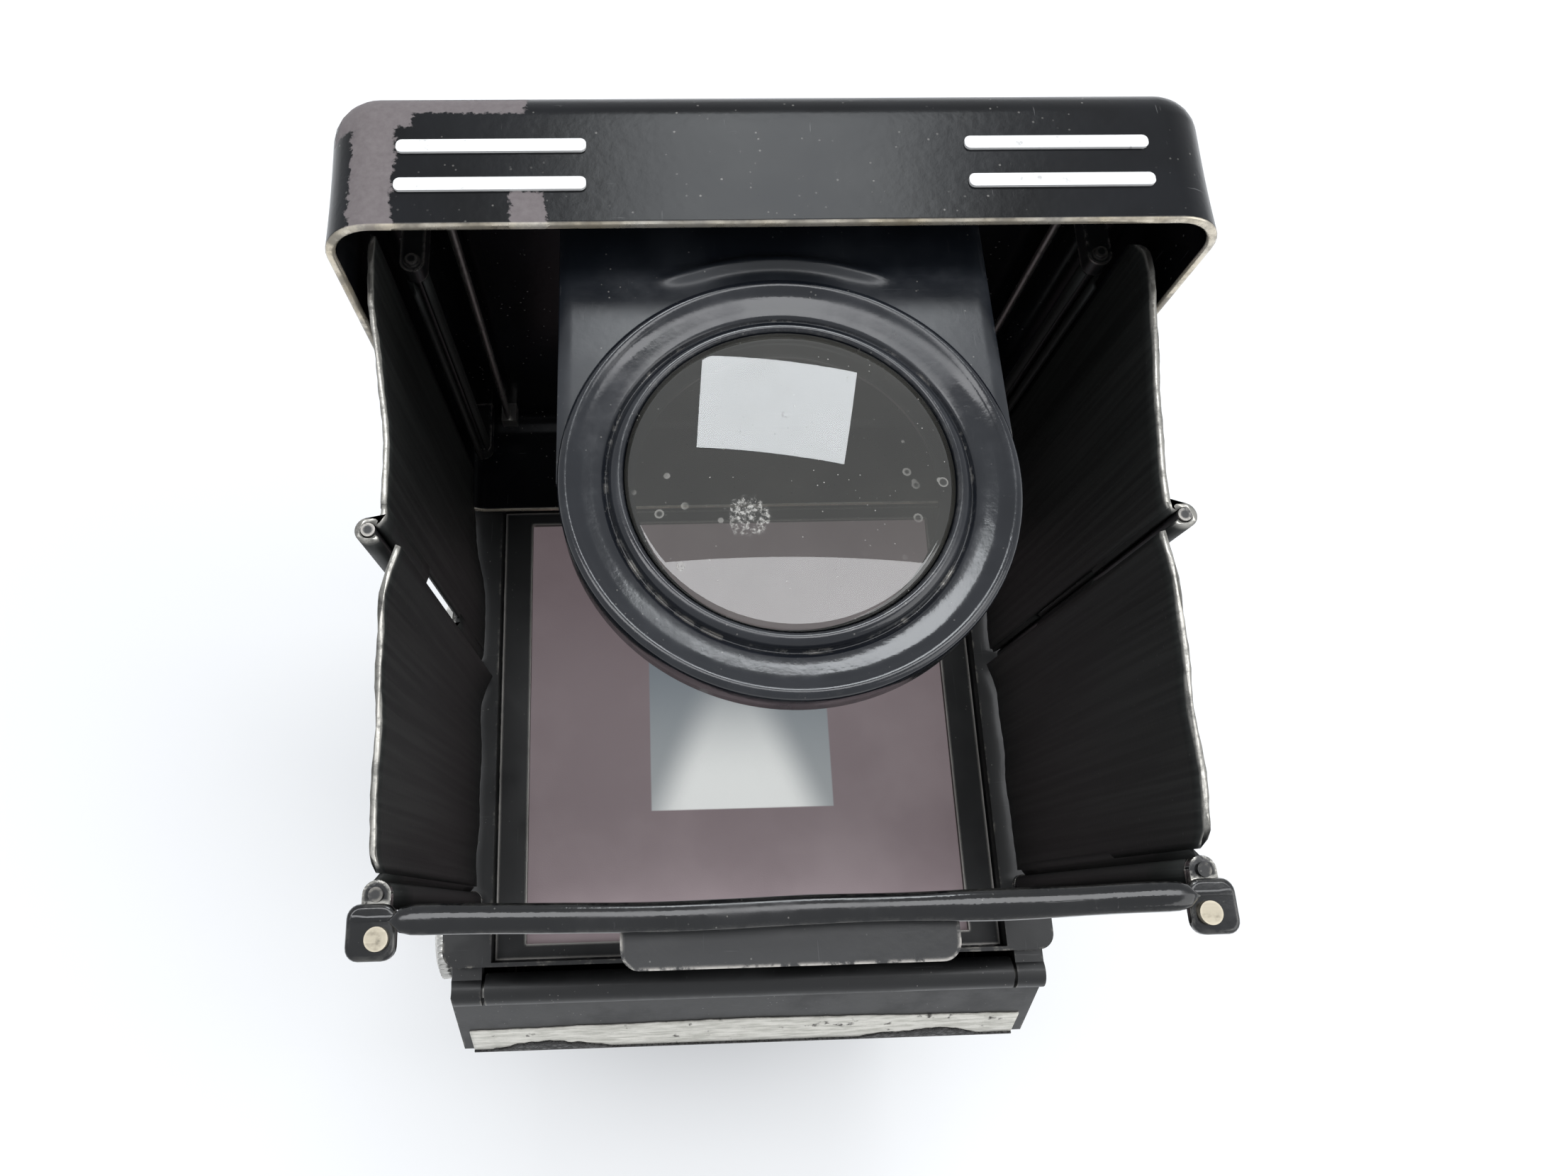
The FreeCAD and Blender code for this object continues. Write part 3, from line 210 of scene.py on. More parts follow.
def grain_leather(name):
    """Grained leatherette: tight pebbles with fine creases, whose darker colour is painted shade."""
    m = Mat(name)
    pebble = m.cells(1.5, "SMOOTH_F1")
    creases = m.ramp(m.cells(1.5, "DISTANCE_TO_EDGE"), 0.0, 0.12)
    shade = m.noise(0.2, 4)
    # Painted shade: the colour is darkest in the creases, and it also varies at random across the pebbles.
    m.set(color=m.mix(m.maths("MULTIPLY", creases, shade), (0.004, 0.004, 0.004), (0.034, 0.031, 0.028)),
          rough=m.ramp(pebble, 0.1, 0.6, 0.38, 0.62))
    m.bump(m.maths("SUBTRACT", creases, m.maths("MULTIPLY", pebble, 0.4)), 0.00018, 0.8)
    return m.mat


def glass(name, tint=(0.86, 0.9, 0.92), dust=0.25):
    """Coated lens glass with dust on it."""
    m = Mat(name)
    specks = m.ramp(m.cells(0.9), 0.07, 0.02)
    film = m.ramp(m.noise(0.08, 5, 0.6), 0.45, 0.75)
    m.set(color=tint, rough=m.maths("MULTIPLY", film, 0.05), trans=1.0, ior=1.5)
    cover = m.node("ShaderNodeBsdfDiffuse")
    cover.inputs[0].default_value = (0.62, 0.62, 0.6, 1)
    blend = m.node("ShaderNodeMixShader")
    dirt = m.maths("ADD", m.maths("MULTIPLY", specks, 0.6), m.maths("MULTIPLY", film, 0.10))
    m.link(m.maths("MULTIPLY", dirt, dust), blend.inputs[0])
    m.link(m.shader.outputs[0], blend.inputs[1])
    m.link(cover.outputs[0], blend.inputs[2])
    m.link(blend.outputs[0], m.out.inputs[0])
    return m.mat


def worn_lid(name):
    """Gloss enamel of the lid: bare rim, grey primer where the paint has come away at one corner."""
    m = Mat(name)
    lid_end = span("hood_lid")[1]
    rim, top = lid_end.y, lid_end.z
    x, y, z = m.axis(0), m.axis(1), m.axis(2)
    jag = m.maths("SUBTRACT", m.noise(0.55, 6, 0.65), 0.5)
    jag_small = m.maths("SUBTRACT", m.noise(2.2, 4, 0.6), 0.5)
    shift = m.maths("ADD", m.maths("MULTIPLY", jag, 2.2), m.maths("MULTIPLY", jag_small, 0.7))
    xj, yj = m.maths("ADD", x, shift), m.maths("ADD", y, m.maths("MULTIPLY", shift, 0.8))

    def region(x0, x1, y0, y1, soft=0.12):
        """1 inside a ragged rectangle; y0 and y1 count back from the rim."""
        y0, y1 = rim + y0, rim + y1
        a = m.maths("MULTIPLY", m.ramp(xj, x0 - soft, x0 + soft), m.ramp(xj, x1 + soft, x1 - soft))
        b = m.maths("MULTIPLY", m.ramp(yj, y0 - soft, y0 + soft), m.ramp(yj, y1 + soft, y1 - soft))
        return m.maths("MULTIPLY", a, b)

    upper = m.ramp(z, top - 7.7, top - 5.7)
    bare = m.maths("MAXIMUM", region(32.0, 35.6, -11.7, 0.9), region(21.0, 36.6, -13.4, -11.2))
    bare = m.maths("MAXIMUM", bare, region(19.3, 22.2, -3.3, 0.9))
    bare = m.maths("MAXIMUM", bare, region(30.6, 37.4, -14.1, -9.7))
    bare = m.maths("MULTIPLY", bare, upper)
    chips = m.maths("MULTIPLY", m.ramp(m.noise(0.7, 6, 0.75), 0.71, 0.73), 0.5)
    primer = m.mix(m.noise(1.6, 5, 0.7), (0.105, 0.088, 0.092), (0.20, 0.18, 0.18))
    cloud = m.noise(0.07, 3, 0.5)
    edge_wear = m.ramp(m.noise(0.35, 6, 0.7), 0.38, 0.62)
    worn_share = m.maths("ADD", m.maths("MULTIPLY", edge_wear, 0.6), 0.4)
    rim_line = m.maths("MULTIPLY", m.ramp(y, rim - 0.28, rim - 0.08), worn_share)
    scratch_a = m.ramp(m.noise(1.0, 3, 0.7, m.at((0.10, 2.6, 0.10))), 0.70, 0.74)
    scratch_b = m.ramp(m.noise(1.0, 3, 0.7, m.at((2.4, 0.14, 0.3), (5, 3, 2))), 0.71, 0.75)
    fine = m.maths("MAXIMUM", scratch_a, scratch_b)
    specks = m.maths("MULTIPLY", m.ramp(m.cells(1.1), 0.15, 0.06), m.ramp(m.noise(0.22, 4), 0.47, 0.6))
    base = m.mix(m.ramp(cloud, 0.4, 0.75), (0.0032, 0.0034, 0.004), (0.0055, 0.0062, 0.0082))
    base = m.mix(m.maths("MULTIPLY", fine, 0.45), base, (0.14, 0.14, 0.14))
    base = m.mix(m.maths("MULTIPLY", specks, 0.5), base, (0.30, 0.29, 0.27))
    base = m.mix(bare, base, primer)
    base = m.mix(m.maths("MULTIPLY", chips, m.maths("MULTIPLY", upper, 0.5)), base, (0.22, 0.21, 0.2))
    base = m.mix(rim_line, base, m.mix(m.noise(0.2, 3), (0.78, 0.77, 0.74), (0.62, 0.50, 0.30)))
    rough = m.ramp(cloud, 0.3, 0.8, 0.22, 0.27)
    rough = m.maths("ADD", rough, m.maths("MULTIPLY", bare, 0.35))
    m.set(color=base, metal=m.maths("MULTIPLY", rim_line, 0.85), rough=rough, spec=0.2)
    waves = m.maths("MULTIPLY", m.noise(0.9, 3), 0.35)
    m.bump(m.maths("SUBTRACT", waves, m.maths("MULTIPLY", bare, 0.5)), 0.00007, 0.7)
    return m.mat


def leaf_paint(name):
    """Matt black sheet with faint upright ribbing and a bright worn top edge."""
    m = Mat(name)
    up = m.normal_z()
    z = m.axis(2)
    leaf_top = span("left_front_leaf")[1].z - 3.4
    line = m.maths("SUBTRACT", m.maths("ADD", z, m.maths("MULTIPLY", m.axis(1), 0.097)), leaf_top)
    top = m.maths("MULTIPLY", m.ramp(up, 0.55, 0.85), m.ramp(line, -2.2, -1.4))
    broken = m.ramp(m.noise(0.8, 6, 0.7), 0.33, 0.55, 0.35, 1.0)
    bright = m.maths("MULTIPLY", top, broken)
    ribs = m.noise(1.0, 2, 0.5, m.at((1.6, 1.6, 0.03)))
    specks = m.maths("MULTIPLY", m.ramp(m.cells(0.8), 0.10, 0.04), 0.4)
    rust = m.maths("MULTIPLY", m.ramp(m.noise(0.35, 6, 0.75), 0.66, 0.74), 0.35)
    base = m.mix(m.ramp(ribs, 0.35, 0.7), (0.011, 0.012, 0.0115), (0.024, 0.026, 0.024))
    base = m.mix(specks, base, (0.10, 0.10, 0.095))
    base = m.mix(rust, base, (0.028, 0.022, 0.017))
    base = m.mix(bright, base, (0.62, 0.60, 0.55))
    m.set(color=base, metal=m.maths("MULTIPLY", bright, 0.9),
          rough=m.maths("SUBTRACT", 0.58, m.maths("MULTIPLY", bright, 0.25)))
    m.bump(m.maths("ADD", ribs, m.maths("MULTIPLY", m.noise(2.5, 3), 0.4)), 0.00006, 0.6)
    return m.mat


def thin_glass(name):
    """Front face of the magnifier glass: a clean reflection over what lies below, with dust and drops."""
    m = Mat(name)
    glass_low, glass_high = span("magnifier_lens")
    middle = (glass_low + glass_high) / 2
    m.tree.nodes.remove(m.shader)
    clear_part = m.node("ShaderNodeBsdfTransparent")
    clear_part.inputs[0].default_value = (0.80, 0.82, 0.80, 1)
    shine = m.node("ShaderNodeBsdfGlossy")
    shine.inputs["Color"].default_value = (1, 1, 1, 1)
    shine.inputs["Roughness"].default_value = 0.012
    fresnel = m.node("ShaderNodeFresnel")
    fresnel.inputs["IOR"].default_value = 1.75
    body = m.node("ShaderNodeMixShader")
    m.link(fresnel.outputs[0], body.inputs[0])
    m.link(clear_part.outputs[0], body.inputs[1])
    m.link(shine.outputs[0], body.inputs[2])
    drops = m.maths("SUBTRACT", m.ramp(m.cells(0.42), 0.20, 0.17), m.ramp(m.cells(0.42), 0.15, 0.10, 0, 0.7))
    drops = m.maths("MULTIPLY", drops, m.ramp(m.noise(0.1, 3), 0.5, 0.6, 0, 0.5))
    dots = m.maths("MULTIPLY", m.ramp(m.cells(1.6), 0.12, 0.05), m.ramp(m.noise(0.3, 4), 0.45, 0.6))
    flat = m.node("ShaderNodeVectorMath", operation="DISTANCE")
    m.link(m.at(), flat.inputs[0])
    flat.inputs[1].default_value = (middle.x + 3.6, middle.y + 3.88, glass_high.z - 0.23)
    ragged_range = m.maths("ADD", flat.outputs["Value"], m.maths("MULTIPLY", m.noise(1.4, 5), 1.6))
    smudge = m.maths("MULTIPLY", m.ramp(ragged_range, 2.7, 2.2), m.ramp(m.noise(2.6, 6, 0.75), 0.42, 0.62))
    film = m.ramp(m.noise(0.06, 5, 0.6), 0.35, 0.75, 0.12, 0.22)
    cover = m.maths("MAXIMUM", drops, m.maths("MULTIPLY", dots, 0.7))
    cover = m.maths("MAXIMUM", cover, m.maths("MULTIPLY", smudge, 0.75))
    cover = m.maths("MAXIMUM", cover, film)
    dust = m.node("ShaderNodeBsdfDiffuse")
    grime = m.maths("MAXIMUM", drops, m.maths("MAXIMUM", dots, smudge))
    m.link(m.mix(grime, (0.15, 0.145, 0.125), (0.55, 0.54, 0.51)), dust.inputs[0])
    whole = m.node("ShaderNodeMixShader")
    m.link(cover, whole.inputs[0])
    m.link(body.outputs[0], whole.inputs[1])
    m.link(dust.outputs[0], whole.inputs[2])
    m.link(whole.outputs[0], m.out.inputs[0])
    return m.mat


def clear(name):
    """Back face of the magnifier glass, which only lets light through."""
    m = Mat(name)
    m.tree.nodes.remove(m.shader)
    through = m.node("ShaderNodeBsdfTransparent")
    m.link(m.mix(m.noise(0.3, 2), (0.94, 0.96, 0.95), (0.98, 0.98, 0.97)), through.inputs[0])
    m.link(through.outputs[0], m.out.inputs[0])
    return m.mat


def paste(name):
    """Old pale glue left where the covering has torn away."""
    m = Mat(name)
    streak = m.noise(1.0, 5, 0.65, m.at((0.25, 1.6, 1.6)))
    base = m.mix(m.ramp(streak, 0.35, 0.7), (0.74, 0.72, 0.66), (0.46, 0.45, 0.40))
    base = m.mix(m.ramp(m.noise(0.5, 5), 0.62, 0.72), base, (0.05, 0.045, 0.04))
    m.set(color=base, rough=0.85)
    m.bump(m.noise(1.5, 5, 0.7), 0.00015, 0.8)
    return m.mat


BLACK = (0.0075, 0.0078, 0.0085)
MATERIALS = {
    "enamel_gloss": enamel("enamel_gloss", BLACK, 0.22, wear=0.75, dust=0.5),
    "enamel_satin": enamel("enamel_satin", BLACK, 0.38, wear=0.5),
    "enamel_deck": enamel("enamel_deck", (0.004, 0.0041, 0.0044), 0.5, wear=0.3, dust=0.6,
                          bare=(0.2, 0.19, 0.17)),
    "matt_inside": enamel("matt_inside", (0.006, 0.006, 0.0065), 0.6, wear=0.9, scratch=0.3,
                          bare=(0.5, 0.48, 0.45)),
    "magnifier_blue": enamel("magnifier_blue", (0.0055, 0.0068, 0.0098), 0.17, wear=0.3, scratch=0.2),
    "plate_blue": enamel("plate_blue", (0.0065, 0.0082, 0.0115), 0.36, wear=0.2, dust=0.5, scratch=0.2),
    "nickel": plated("nickel", (0.60, 0.59, 0.56)),
    "steel": plated("steel", (0.40, 0.39, 0.37), 0.36, 0.6),
    "brass": plated("brass", (0.42, 0.38, 0.30), 0.45, 0.6),
    "leather": grain_leather("leather"),
    "glass": glass("glass"),
    "lid": worn_lid("lid"),
    "leaf": leaf_paint("leaf"),
    # The lip's pale bare edges are partly wear and partly a painted highlight along its top edge.
    "lip": enamel("lip", (0.0035, 0.0037, 0.0042), 0.12, wear=0.5, dust=0.4, scratch=0.25,
                  bare=(0.6, 0.58, 0.53)),
    "magnifier_glass": thin_glass("magnifier_glass"),
    "clear_back": clear("clear_back"),
    "paste": paste("paste"),
}
FINISHED = {
    "enamel_gloss": ("hood_lid", "rear_panel"),
    "enamel_deck": ("deck_frame", "back_door", "rear_hinge_pins"),
    "enamel_satin": ("rear_tab", "magnifier_bracket", "front_hinge_brackets", "body_shell",
                     "lens_standard", "shutter_housing", "iris_blades", "supply_spool", "take_up_spool",
                     "feet", "crank_handle", "left_mid_pin", "right_mid_pin", "front_hinge_pins"),
    "matt_inside": ("left_front_leaf", "left_rear_leaf", "right_front_leaf", "right_rear_leaf",
                    "screen_frame", "film_chamber", "mirror_bracket"),
    "magnifier_blue": ("magnifier_plate", "magnifier_ring"),
    "leather": ("leather_left", "leather_right", "leather_back"),
    "brass": ("corner_rivets",),
    "glass": ("magnifier_lens", "viewing_glass", "taking_glass"),
    "nickel": ("strap_lugs", "spool_knob_upper", "spool_knob_lower", "door_latch", "viewing_barrel",
               "taking_barrel", "sync_socket", "front_screws", "shutter_release", "focus_knob",
               "winding_crank"),
}
FINISH = {label: finish for finish, labels in FINISHED.items() for label in labels}


def paint(obj, mat):
    """Gives an object one material."""
    obj.data.materials.clear()
    obj.data.materials.append(mat)


def soften(obj, width, segments=2, angle=35):
    """Rounds the sharp edges of a piece so that they catch the light."""
    bevel = obj.modifiers.new("round", "BEVEL")
    bevel.width = width
    bevel.segments = segments
    bevel.limit_method = "ANGLE"
    bevel.angle_limit = math.radians(angle)
    bevel.harden_normals = False
    for face in obj.data.polygons:
        face.use_smooth = True
    weighted = obj.modifiers.new("normals", "WEIGHTED_NORMAL")
    weighted.keep_sharp = True


for label, obj in nodes.items():
    paint(obj, MATERIALS[FINISH.get(label, "steel")])

# ---------------- trim bars and the screen
trim = Mat("white_inlay")
chip = trim.ramp(trim.noise(0.9, 5, 0.7), 0.60, 0.68)
chip = trim.maths("MULTIPLY", chip, 0.5)
trim.set(color=trim.mix(chip, (0.74, 0.74, 0.73), (0.30, 0.29, 0.28)), rough=0.45)
trim.bump(trim.noise(2, 3), 0.00004, 0.5)
paint(nodes["lid_trim_bars"], trim.mat)

# The focusing screen's colour is painted light: a painted image that glows though the screen is no lamp.
ground = Mat("ground_screen_glow")
gx, gy = ground.axis(0), ground.axis(1)
SQUARE = 12.0
inner = ground.maths("MULTIPLY", ground.ramp(ground.maths("ABSOLUTE", gx), SQUARE + 0.12, SQUARE - 0.12),
                     ground.ramp(ground.maths("ABSOLUTE", gy), SQUARE + 0.12, SQUARE - 0.12))
haze = ground.noise(0.04, 4)
outer_tone = ground.mix(ground.ramp(haze, 0.35, 0.7), (0.185, 0.145, 0.155), (0.235, 0.190, 0.200))
# Painted image inside the central square: darker at the front, lighter towards the rear.
painted_image_tone = ground.mix(ground.ramp(gy, -12, 12), (0.16, 0.185, 0.21), (0.31, 0.33, 0.34))
# Painted glow: a bright cone of light widening towards the rear of the square.
reach = ground.maths("SUBTRACT", gy, 12.0)
spread = ground.maths("MULTIPLY", ground.maths("ADD", reach, 25.0), 0.42)
aside = ground.maths("ABSOLUTE", ground.maths("SUBTRACT", gx, 0.6))
painted_glow_cone = ground.ramp(ground.maths("SUBTRACT", aside, spread), 2.6, -3.6)
painted_glow_cone = ground.maths("MULTIPLY", painted_glow_cone, ground.ramp(gy, -9, 9))
painted_image_tone = ground.mix(ground.maths("MULTIPLY", painted_glow_cone, 0.85), painted_image_tone, (0.86, 0.87, 0.85))
screen_glow_tone = ground.mix(inner, outer_tone, painted_image_tone)
ground.set(color=screen_glow_tone, rough=0.42, spec=0.35)
# Painted light: the screen glows with its own colour.
ground.shader.inputs["Emission Color"].default_value = (1, 1, 1, 1)
ground.link(screen_glow_tone, ground.shader.inputs["Emission Color"])
ground.shader.inputs["Emission Strength"].default_value = 0.42
ground.bump(ground.noise(6, 2), 0.00003, 0.5)
paint(nodes["focusing_screen"], ground.mat)

silver = Mat("silvered_mirror")
silver.set(color=(0.82, 0.84, 0.86), metal=1.0, rough=silver.ramp(silver.noise(0.1), 0.4, 0.8, 0.02, 0.12))
paint(nodes["reflex_mirror"], silver.mat)

for label in ("hood_lid", "deck_frame", "rear_panel", "rear_tab", "body_shell", "back_door", "lens_standard",
              "shutter_housing", "viewing_barrel", "taking_barrel", "focus_knob", "winding_crank",
              "crank_handle", "spool_knob_upper", "spool_knob_lower", "strap_lugs", "feet",
              "magnifier_ring", "magnifier_plate"):
    soften(nodes[label], 0.00022)

# ---------------- shape helpers (sizes in millimetres)
def piece(name, body, shape, mats, hides=(), face_mats=()):
    """Makes one visible piece from a shape, lets it ride on a body and hides the nodes it stands for."""
    mesh = bpy.data.meshes.new(name)
    mesh.from_pydata([tuple(c * 0.001 for c in v) for v in shape.verts], [], shape.faces)
    for mat in mats:
        mesh.materials.append(mat)
    for face, index in zip(mesh.polygons, face_mats):
        face.material_index = index
    shaped = bmesh.new()
    shaped.from_mesh(mesh)
    bmesh.ops.recalc_face_normals(shaped, faces=shaped.faces)
    shaped.to_mesh(mesh)
    shaped.free()
    for face in mesh.polygons:
        face.use_smooth = True
    obj = bpy.data.objects.new(name, mesh)
    scene.collection.objects.link(obj)
    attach(obj, body)
    if hides:
        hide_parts(*hides)
    return obj


def flats(obj):
    """Keeps broad faces flat beside their rounded edges."""
    weighted = obj.modifiers.new("normals", "WEIGHTED_NORMAL")
    weighted.keep_sharp = True
    weighted.weight = 90
    return obj


class Shape:
    """Collects corner points and faces from several parts of one piece."""

    def __init__(self):
        self.verts = []
        self.faces = []

    def loft(self, rings, caps=True, loop=False):
        """Joins closed rings of equal length one after another."""
        start = len(self.verts)
        count = len(rings[0])
        for ring in rings:
            self.verts.extend(ring)
        rows = len(rings)
        for i in range(rows if loop else rows - 1):
            a, b = start + i * count, start + (i + 1) % rows * count
            for j in range(count):
                k = (j + 1) % count
                self.faces.append((a + j, a + k, b + k, b + j))
        if caps and not loop:
            self.faces.append(tuple(range(start, start + count)))
            last = start + (rows - 1) * count
            self.faces.append(tuple(range(last + count - 1, last - 1, -1)))
        return self

    def spin(self, profile, place, count=96):
        """Turns a closed (radius, height) profile; place maps radius, angle and height to a point."""
        rings = [[place(r, 2 * math.pi * k / count, h) for r, h in profile] for k in range(count)]
        return self.loft(rings, loop=True)

    def ribbon(self, path, thick, low, high, rows=14, shift=None):
        """A bent sheet: a path in plan, filled from low to high; high may be a function of the path share."""
        share = [i / (len(path) - 1) for i in range(len(path))]
        sides = []
        for i, (x, y) in enumerate(path):
            ax, ay = path[max(0, i - 1)]
            bx, by = path[min(len(path) - 1, i + 1)]
            length = math.hypot(bx - ax, by - ay) or 1
            sides.append(((by - ay) / length, -(bx - ax) / length))
        top = high if callable(high) else (lambda s: high)
        rings = []
        for row in range(rows + 1):
            ring = []
            for face, order in ((0.5, range(len(path))), (-0.5, range(len(path) - 1, -1, -1))):
                for i in order:
                    z = low + (top(share[i]) - low) * row / rows
                    push = shift(path[i][0], path[i][1], z) if shift else 0.0
                    nx, ny = sides[i]
                    ring.append((path[i][0] + nx * thick * face + push, path[i][1] + ny * thick * face, z))
            rings.append(ring)
        return self.loft(rings)


def outline(width, height, radius, steps=7):
    """Points of a rounded rectangle about the origin."""
    points = []
    for cx, cy, start in ((1, 1, 0), (-1, 1, 90), (-1, -1, 180), (1, -1, 270)):
        for k in range(steps + 1):
            a = math.radians(start + 90 * k / steps)
            points.append((cx * (width / 2 - radius) + radius * math.cos(a),
                           cy * (height / 2 - radius) + radius * math.sin(a)))
    return points


def arc(cx, cy, radius, first, last, steps):
    """Points along an arc about (cx, cy), with its angles in degrees."""
    angles = [math.radians(first + (last - first) * k / steps) for k in range(steps + 1)]
    return [(cx + radius * math.cos(a), cy + radius * math.sin(a)) for a in angles]


def wave(a, b, c, amount):
    """Smooth noise at a point, between about -amount and +amount."""
    return noise.noise(Vector((a, b, c))) * amount


# ---------------- lid: a deep-drawn tray with a soft front bend
lid_high = span("hood_lid")[1]
lid_bottom = span("lid_spring_wires")[0].z - 4
half_x = lid_high.x
mid_z = (lid_high.z + lid_bottom) / 2
tall = lid_high.z - lid_bottom
front = span("lid_spring_wires")[0].y - 0.9
rim = lid_high.y
SHEET = 0.9
BEND = 3.8
CORNER = 4.6


def lid_ring(inset, y):
    """The lid's outline at depth y, drawn in by inset."""
    return [(x, y, mid_z + z) for x, z in
            outline(2 * (half_x - inset), tall - 2 * inset, max(CORNER - inset, 0.7), 9)]


rings = []
for k in range(9):
    a = math.pi / 2 * k / 8
    rings.append(lid_ring(BEND * (1 - math.sin(a)), front + BEND * (1 - math.cos(a))))
for k in range(1, 7):
    wall_y = front + BEND + (rim - front - BEND - 0.35) * k / 6
    rings.append(lid_ring(0.10 * math.sin(math.pi * k / 7), wall_y))
for inset, back in ((0.04, 0.16), (0.2, 0.03), (0.45, 0.0), (0.7, 0.03), (0.86, 0.16)):
    rings.append(lid_ring(inset, rim - back))
for k in range(6):
    rings.append(lid_ring(SHEET, rim - 0.4 + (front + BEND - rim + 0.4) * k / 5))
for k in range(8, -1, -1):
    a = math.pi / 2 * k / 8
    inner_bend = BEND - SHEET
    rings.append(lid_ring(SHEET + inner_bend * (1 - math.sin(a)),
                          front + SHEET + inner_bend * (1 - math.cos(a))))
flats(piece("lid_tray", "camera_body", Shape().loft(rings), [MATERIALS["lid"]], hides=("hood_lid",)))

pin_low, pin_high = span("lid_hinge_pin")
pin_y, pin_z = (pin_low.y + pin_high.y) / 2, (pin_low.z + pin_high.z) / 2
strap_path = [(pin_y + 1.0, lid_bottom + 1.0), (pin_y + 1.0, lid_bottom), (pin_y + 1.0, pin_z + 0.5)]
strap_path += arc(pin_y, pin_z, 0.95, 10, -290, 24)
STRAP_HALF = 11.6
strap = Shape().ribbon(strap_path, 0.6, -STRAP_HALF, STRAP_HALF, rows=4)
strap.verts = [(z, x, y) for x, y, z in strap.verts]
piece("lid_strap", "camera_body", strap, [MATERIALS["enamel_satin"]])

# ---------------- magnifier: turned ring, glass and embossed plate
plate_high = span("magnifier_plate")[1]
hinge_low, hinge_high = span("magnifier_hinge_pin")
hinge_y, hinge_z = (hinge_low.y + hinge_high.y) / 2, (hinge_low.z + hinge_high.z) / 2
ring_r = span("magnifier_ring")[1].x
TILT = math.radians(3.5)
REACH = (span("magnifier_ring")[0].y + span("magnifier_ring")[1].y) / 2 - hinge_y + 0.06


def tilted(x, along, up):
    """A point of the magnifier: along runs from its hinge towards the viewer, up is off its plate."""
    return (x, hinge_y + along * math.cos(TILT) - up * math.sin(TILT),
            hinge_z + along * math.sin(TILT) + up * math.cos(TILT))


def on_ring(r, angle, h):
    return tilted(r * math.cos(angle), REACH + r * math.sin(angle), h)


R = ring_r
profile = [(12.5, -1.6), (16.4, -1.6), (17.2, -2.2), (17.9, -2.4), (18.4, -2.2), (R, -1.7), (R, 0.75)]
profile += arc(R - 0.6, 1.0, 0.6, 0, 120, 6)
profile += [(17.45, 1.38), (17.2, 1.22), (16.6, 1.05), (15.9, 0.9), (15.3, 0.76), (14.95, 0.62),
            (14.82, 0.36), (14.7, 0.34), (14.6, 0.6), (14.5, 0.95), (14.3, 1.22), (14.0, 1.38),
            (13.75, 1.42), (13.5, 1.38), (13.38, 1.2), (13.32, 0.9), (13.3, -0.9), (12.5, -0.9)]
piece("magnifier_rim", "magnifier", Shape().spin(profile, on_ring, 144), [MATERIALS["magnifier_blue"]],
      hides=("magnifier_ring",))

face_kinds = []
steps, around = 20, 96
lens = Shape()
for side, apex, sign in ((0, 1.8, -1), (1, -1.0, 1)):
    base = len(lens.verts)
    lens.verts.append(on_ring(0, 0, apex))
    for i in range(1, steps + 1):
        r = 13.25 * i / steps
        h = apex + sign * r * r / 240
        lens.verts.extend(on_ring(r, 2 * math.pi * k / around, h) for k in range(around))
    for k in range(around):
        n = (k + 1) % around
        lens.faces.append((base, base + 1 + k, base + 1 + n))
        face_kinds.append(side)
        for i in range(steps - 1):
            a, b = base + 1 + i * around, base + 1 + (i + 1) * around
            lens.faces.append((a + k, b + k, b + n, a + n))
            face_kinds.append(side)
top_edge, low_edge = 1 + (steps - 1) * around, 2 + steps * around + (steps - 1) * around
for k in range(around):
    n = (k + 1) % around
    lens.faces.append((top_edge + k, top_edge + n, low_edge + n, low_edge + k))
    face_kinds.append(1)
piece("magnifier_glass", "magnifier", lens, [MATERIALS["magnifier_glass"], MATERIALS["clear_back"]],
      hides=("magnifier_lens",), face_mats=face_kinds)

HALF = plate_high.x
EDGE = REACH - 1.0
leaf_shape = Shape()
cols, rows = 132, 44


def ridge(x, along):
    """Height of the stiffening arc pressed round the ring, fading out at both ends."""
    dx, dy = x, along - REACH
    r = math.hypot(dx, dy)
    angle = math.degrees(math.atan2(dx, -dy))
    turn = max(0.0, 1 - (abs(angle) / 28) ** 8)
    hook = 0.7 * max(0.0, (abs(angle) - 18) / 10) ** 2
    return 0.55 * math.exp(-((r - 21.0 - hook) / 0.6) ** 2) * turn


grid = []
for i in range(cols + 1):
    a = math.pi + math.pi * i / cols
    c, s = math.cos(a), math.sin(a)
    reach = min(HALF / max(abs(c), 1e-6), EDGE / max(abs(s), 1e-6))
    reach = max(reach, R - 0.02)
    line = []
    for j in range(rows + 1):
        r = (R - 0.05) + (reach - (R - 0.05)) * j / rows
        line.append((r * c, REACH + r * s))
    grid.append(line)
for level in (0, 1):
    for line in grid:
        for j, (x, along) in enumerate(line):
            drop = 0.32 * max(0.0, (abs(x) - HALF + 1.2) / 1.2) ** 2
            if level == 0:
                leaf_shape.verts.append(tilted(x, along, 0.5 + ridge(x, along) - drop))
            else:
                leaf_shape.verts.append(tilted(x, along, -0.5))
count = (cols + 1) * (rows + 1)
for i in range(cols):
    for j in range(rows):
        a = i * (rows + 1) + j
        b = a + rows + 1
        leaf_shape.faces.append((a, a + 1, b + 1, b))
        leaf_shape.faces.append((count + a, count + b, count + b + 1, count + a + 1))
for i in range(cols):
    for j in (0, rows):
        a = i * (rows + 1) + j
        b = a + rows + 1
        leaf_shape.faces.append((a, b, count + b, count + a))
for i in (0, cols):
    for j in range(rows):
        a = i * (rows + 1) + j
        leaf_shape.faces.append((a, a + 1, count + a + 1, count + a))
